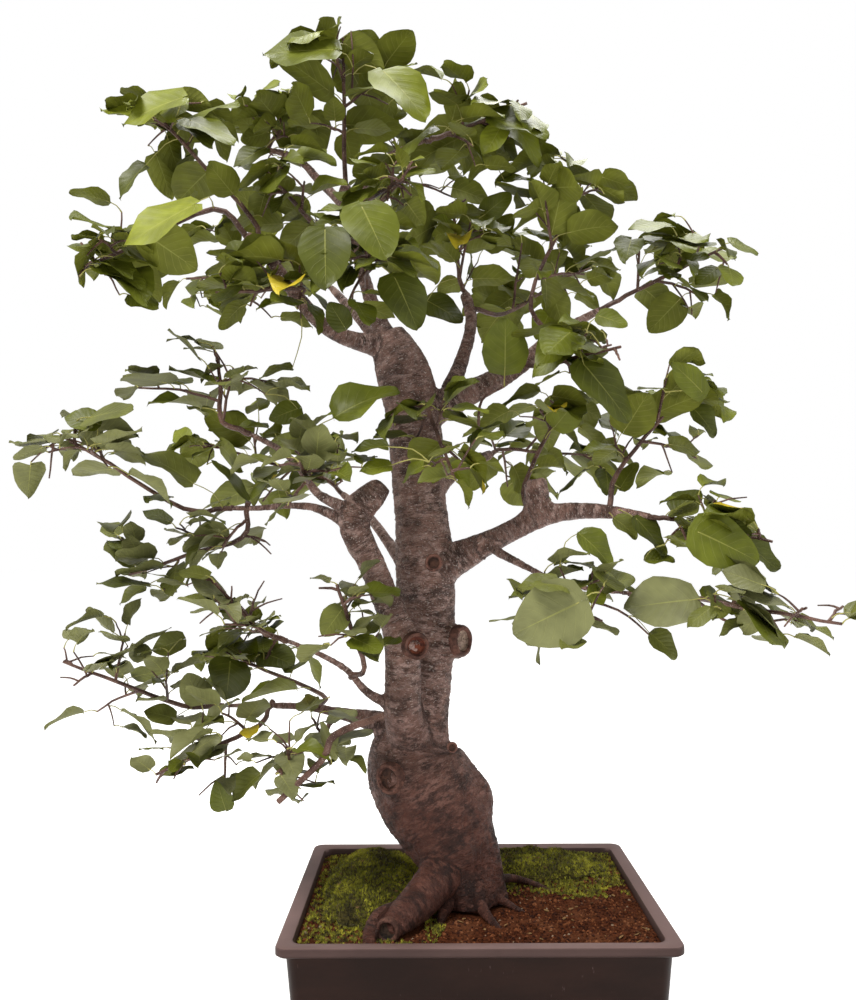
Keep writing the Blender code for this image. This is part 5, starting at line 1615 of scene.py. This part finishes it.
def build_moss():
    finishes = [moss_material(name, colour) for name, colour in MOSS_TONES.items()]
    shapes = [tuft(seed) for seed in range(TUFT_SHAPES)]
    trunk = tree_of(frame["nodes"]["trunk"])
    for side in ("left", "right"):
        node_name = f"moss_{side}"
        bm = bmesh.new()
        bm.from_mesh(frame["nodes"][node_name].data)
        bmesh.ops.remove_doubles(bm, verts=bm.verts, dist=1e-6)
        cushion = object_from(bm, f"moss_cushion_{side}", finishes[0])
        fine = cushion.modifiers.new("fine", "REMESH")
        fine.mode = "VOXEL"
        fine.voxel_size = MOSS_VOXEL
        fine.use_smooth_shade = True
        soften = cushion.modifiers.new("soften", "SMOOTH")
        soften.iterations = 3
        apply_modifiers(cushion)
        lifted = [(v, v.normal.copy()) for v in cushion.data.vertices]
        for vertex, normal in lifted:
            lump = noise.noise(vertex.co * 45) * 0.0045 + noise.noise(vertex.co * 150) * 0.0020
            vertex.co += normal * (lump - 0.0018)
        settle(cushion, "moss", node_name)
        chance = random.Random(node_name)
        placed = []
        for polygon in cushion.data.polygons:
            normal = polygon.normal
            if normal.z < 0.15:
                continue
            share = polygon.area / MOSS_STEP**2
            for _ in range(int(share + chance.random())):
                place = polygon.center + Vector([chance.uniform(-1, 1) * MOSS_STEP for _ in range(3)]) * 0.5
                if trunk.find_nearest(place, 0.003)[0] is not None:
                    continue
                patch = noise.noise(place * 32 + Vector((7, 0, 0))) + chance.uniform(-0.35, 0.35)
                slot = 0 if patch < -0.30 else (1 if patch < 0.22 else 2)
                size = chance.uniform(0.0022, 0.0042)
                up = (normal * 0.6 + UP).normalized()
                turn = towards(up, chance.uniform(0, math.tau))
                placed.append((chance.randrange(TUFT_SHAPES), set_down(place, turn, size), [slot]))
        settle(joined(f"moss_tufts_{side}", shapes, placed, finishes), "moss")
    thin_moss(shapes, finishes, trunk)


# Where thin moss grows on the soil round the cushions: centre, half sizes.
THIN_MOSS = [
    ((-0.125, 0.000), (0.082, 0.160)),
    ((0.112, 0.080), (0.100, 0.080)),
    ((-0.020, 0.120), (0.12, 0.040)),
]
THIN_TUFTS = 6600


def thin_moss(shapes, finishes, trunk):
    """Moss that thins out from the cushions, in patches with soil between them."""
    chance = random.Random("thin moss")
    wide, deep = inside_pot(SOIL_EDGE, 0.003)
    placed = []
    while len(placed) < THIN_TUFTS:
        x, y = chance.uniform(-wide, wide), chance.uniform(-deep, deep)
        reach = min(math.hypot((x - cx) / rx, (y - cy) / ry) for (cx, cy), (rx, ry) in THIN_MOSS)
        patch = 1.30 - reach + 0.9 * noise.noise(Vector((x * 40, y * 40, 1))) + chance.uniform(-0.2, 0.2)
        if patch < 0.12 or reach > 1.25:
            continue
        place = Vector((x, y, soil_height(x, y) - 0.0004))
        if trunk.find_nearest(place, 0.003)[0] is not None:
            continue
        turn = towards(UP, chance.uniform(0, math.tau))
        size = chance.uniform(0.0030, 0.0052) * (0.8 + 0.4 * min(1.0, patch))
        slot = chance.choices((0, 1, 2), (0.25, 0.45, 0.30))[0]
        placed.append((chance.randrange(TUFT_SHAPES), set_down(place, turn, size), [slot]))
    settle(joined("moss_thin", shapes, placed, finishes), "moss")


# ---------------------------------------------------------------- stage


def build_stage():
    """A plain pale floor, soft lights and the camera."""
    bm = bmesh.new()
    bmesh.ops.create_circle(bm, cap_ends=True, segments=64, radius=6.0)
    bmesh.ops.scale(bm, vec=(5, 5, 1), verts=bm.verts)
    paper = new_material("floor_white", (0.93, 0.93, 0.93), 0.9, Specular_IOR_Level=0.0,
                         Emission_Color=(1, 1, 1, 1), Emission_Strength=0.5)[0]
    floor = object_from(bm, "floor", paper)
    world = bpy.data.worlds.new("studio")
    bpy.context.scene.world = world
    world.use_nodes = True
    tree = world.node_tree
    background = tree.nodes["Background"]
    background.inputs["Color"].default_value = (1, 1, 1, 1)
    ray = node(tree, "ShaderNodeLightPath").outputs["Is Camera Ray"]
    strength = maths(tree, "MULTIPLY_ADD", ray, BACKDROP - AMBIENT, AMBIENT)
    tree.links.new(strength, background.inputs["Strength"])
    for name, (place, aim, width, power, colour) in LIGHTS.items():
        light = bpy.data.lights.new(name, "AREA")
        light.size = width
        light.energy = power
        light.color = colour
        lamp = bpy.data.objects.new(name, light)
        lamp.location = place
        lamp.rotation_euler = (Vector(aim) - Vector(place)).to_track_quat("-Z", "Y").to_euler()
        bpy.context.scene.collection.objects.link(lamp)
    lens = bpy.data.cameras.new("camera")
    lens.lens = CAMERA_LENS
    lens.clip_start = 0.02
    camera = bpy.data.objects.new("camera", lens)
    bpy.context.scene.collection.objects.link(camera)
    yaw = Matrix.Rotation(math.radians(CAMERA_YAW), 4, "Z")
    pitch = Matrix.Rotation(math.radians(90 + CAMERA_PITCH), 4, "X")
    roll = Matrix.Rotation(math.radians(CAMERA_ROLL), 4, "Z")
    camera.matrix_world = Matrix.Translation(CAMERA_AT) @ (yaw @ pitch) @ roll
    bpy.context.scene.camera = camera
    bpy.context.scene.view_settings.view_transform = "Standard"


SPACES = [Space(name) for name in MASSES]
build_bark()
build_foliage()
build_pot()
build_soil()
build_moss()
build_litter([granule(seed) for seed in range(GRANULE_SHAPES)])
build_stage()
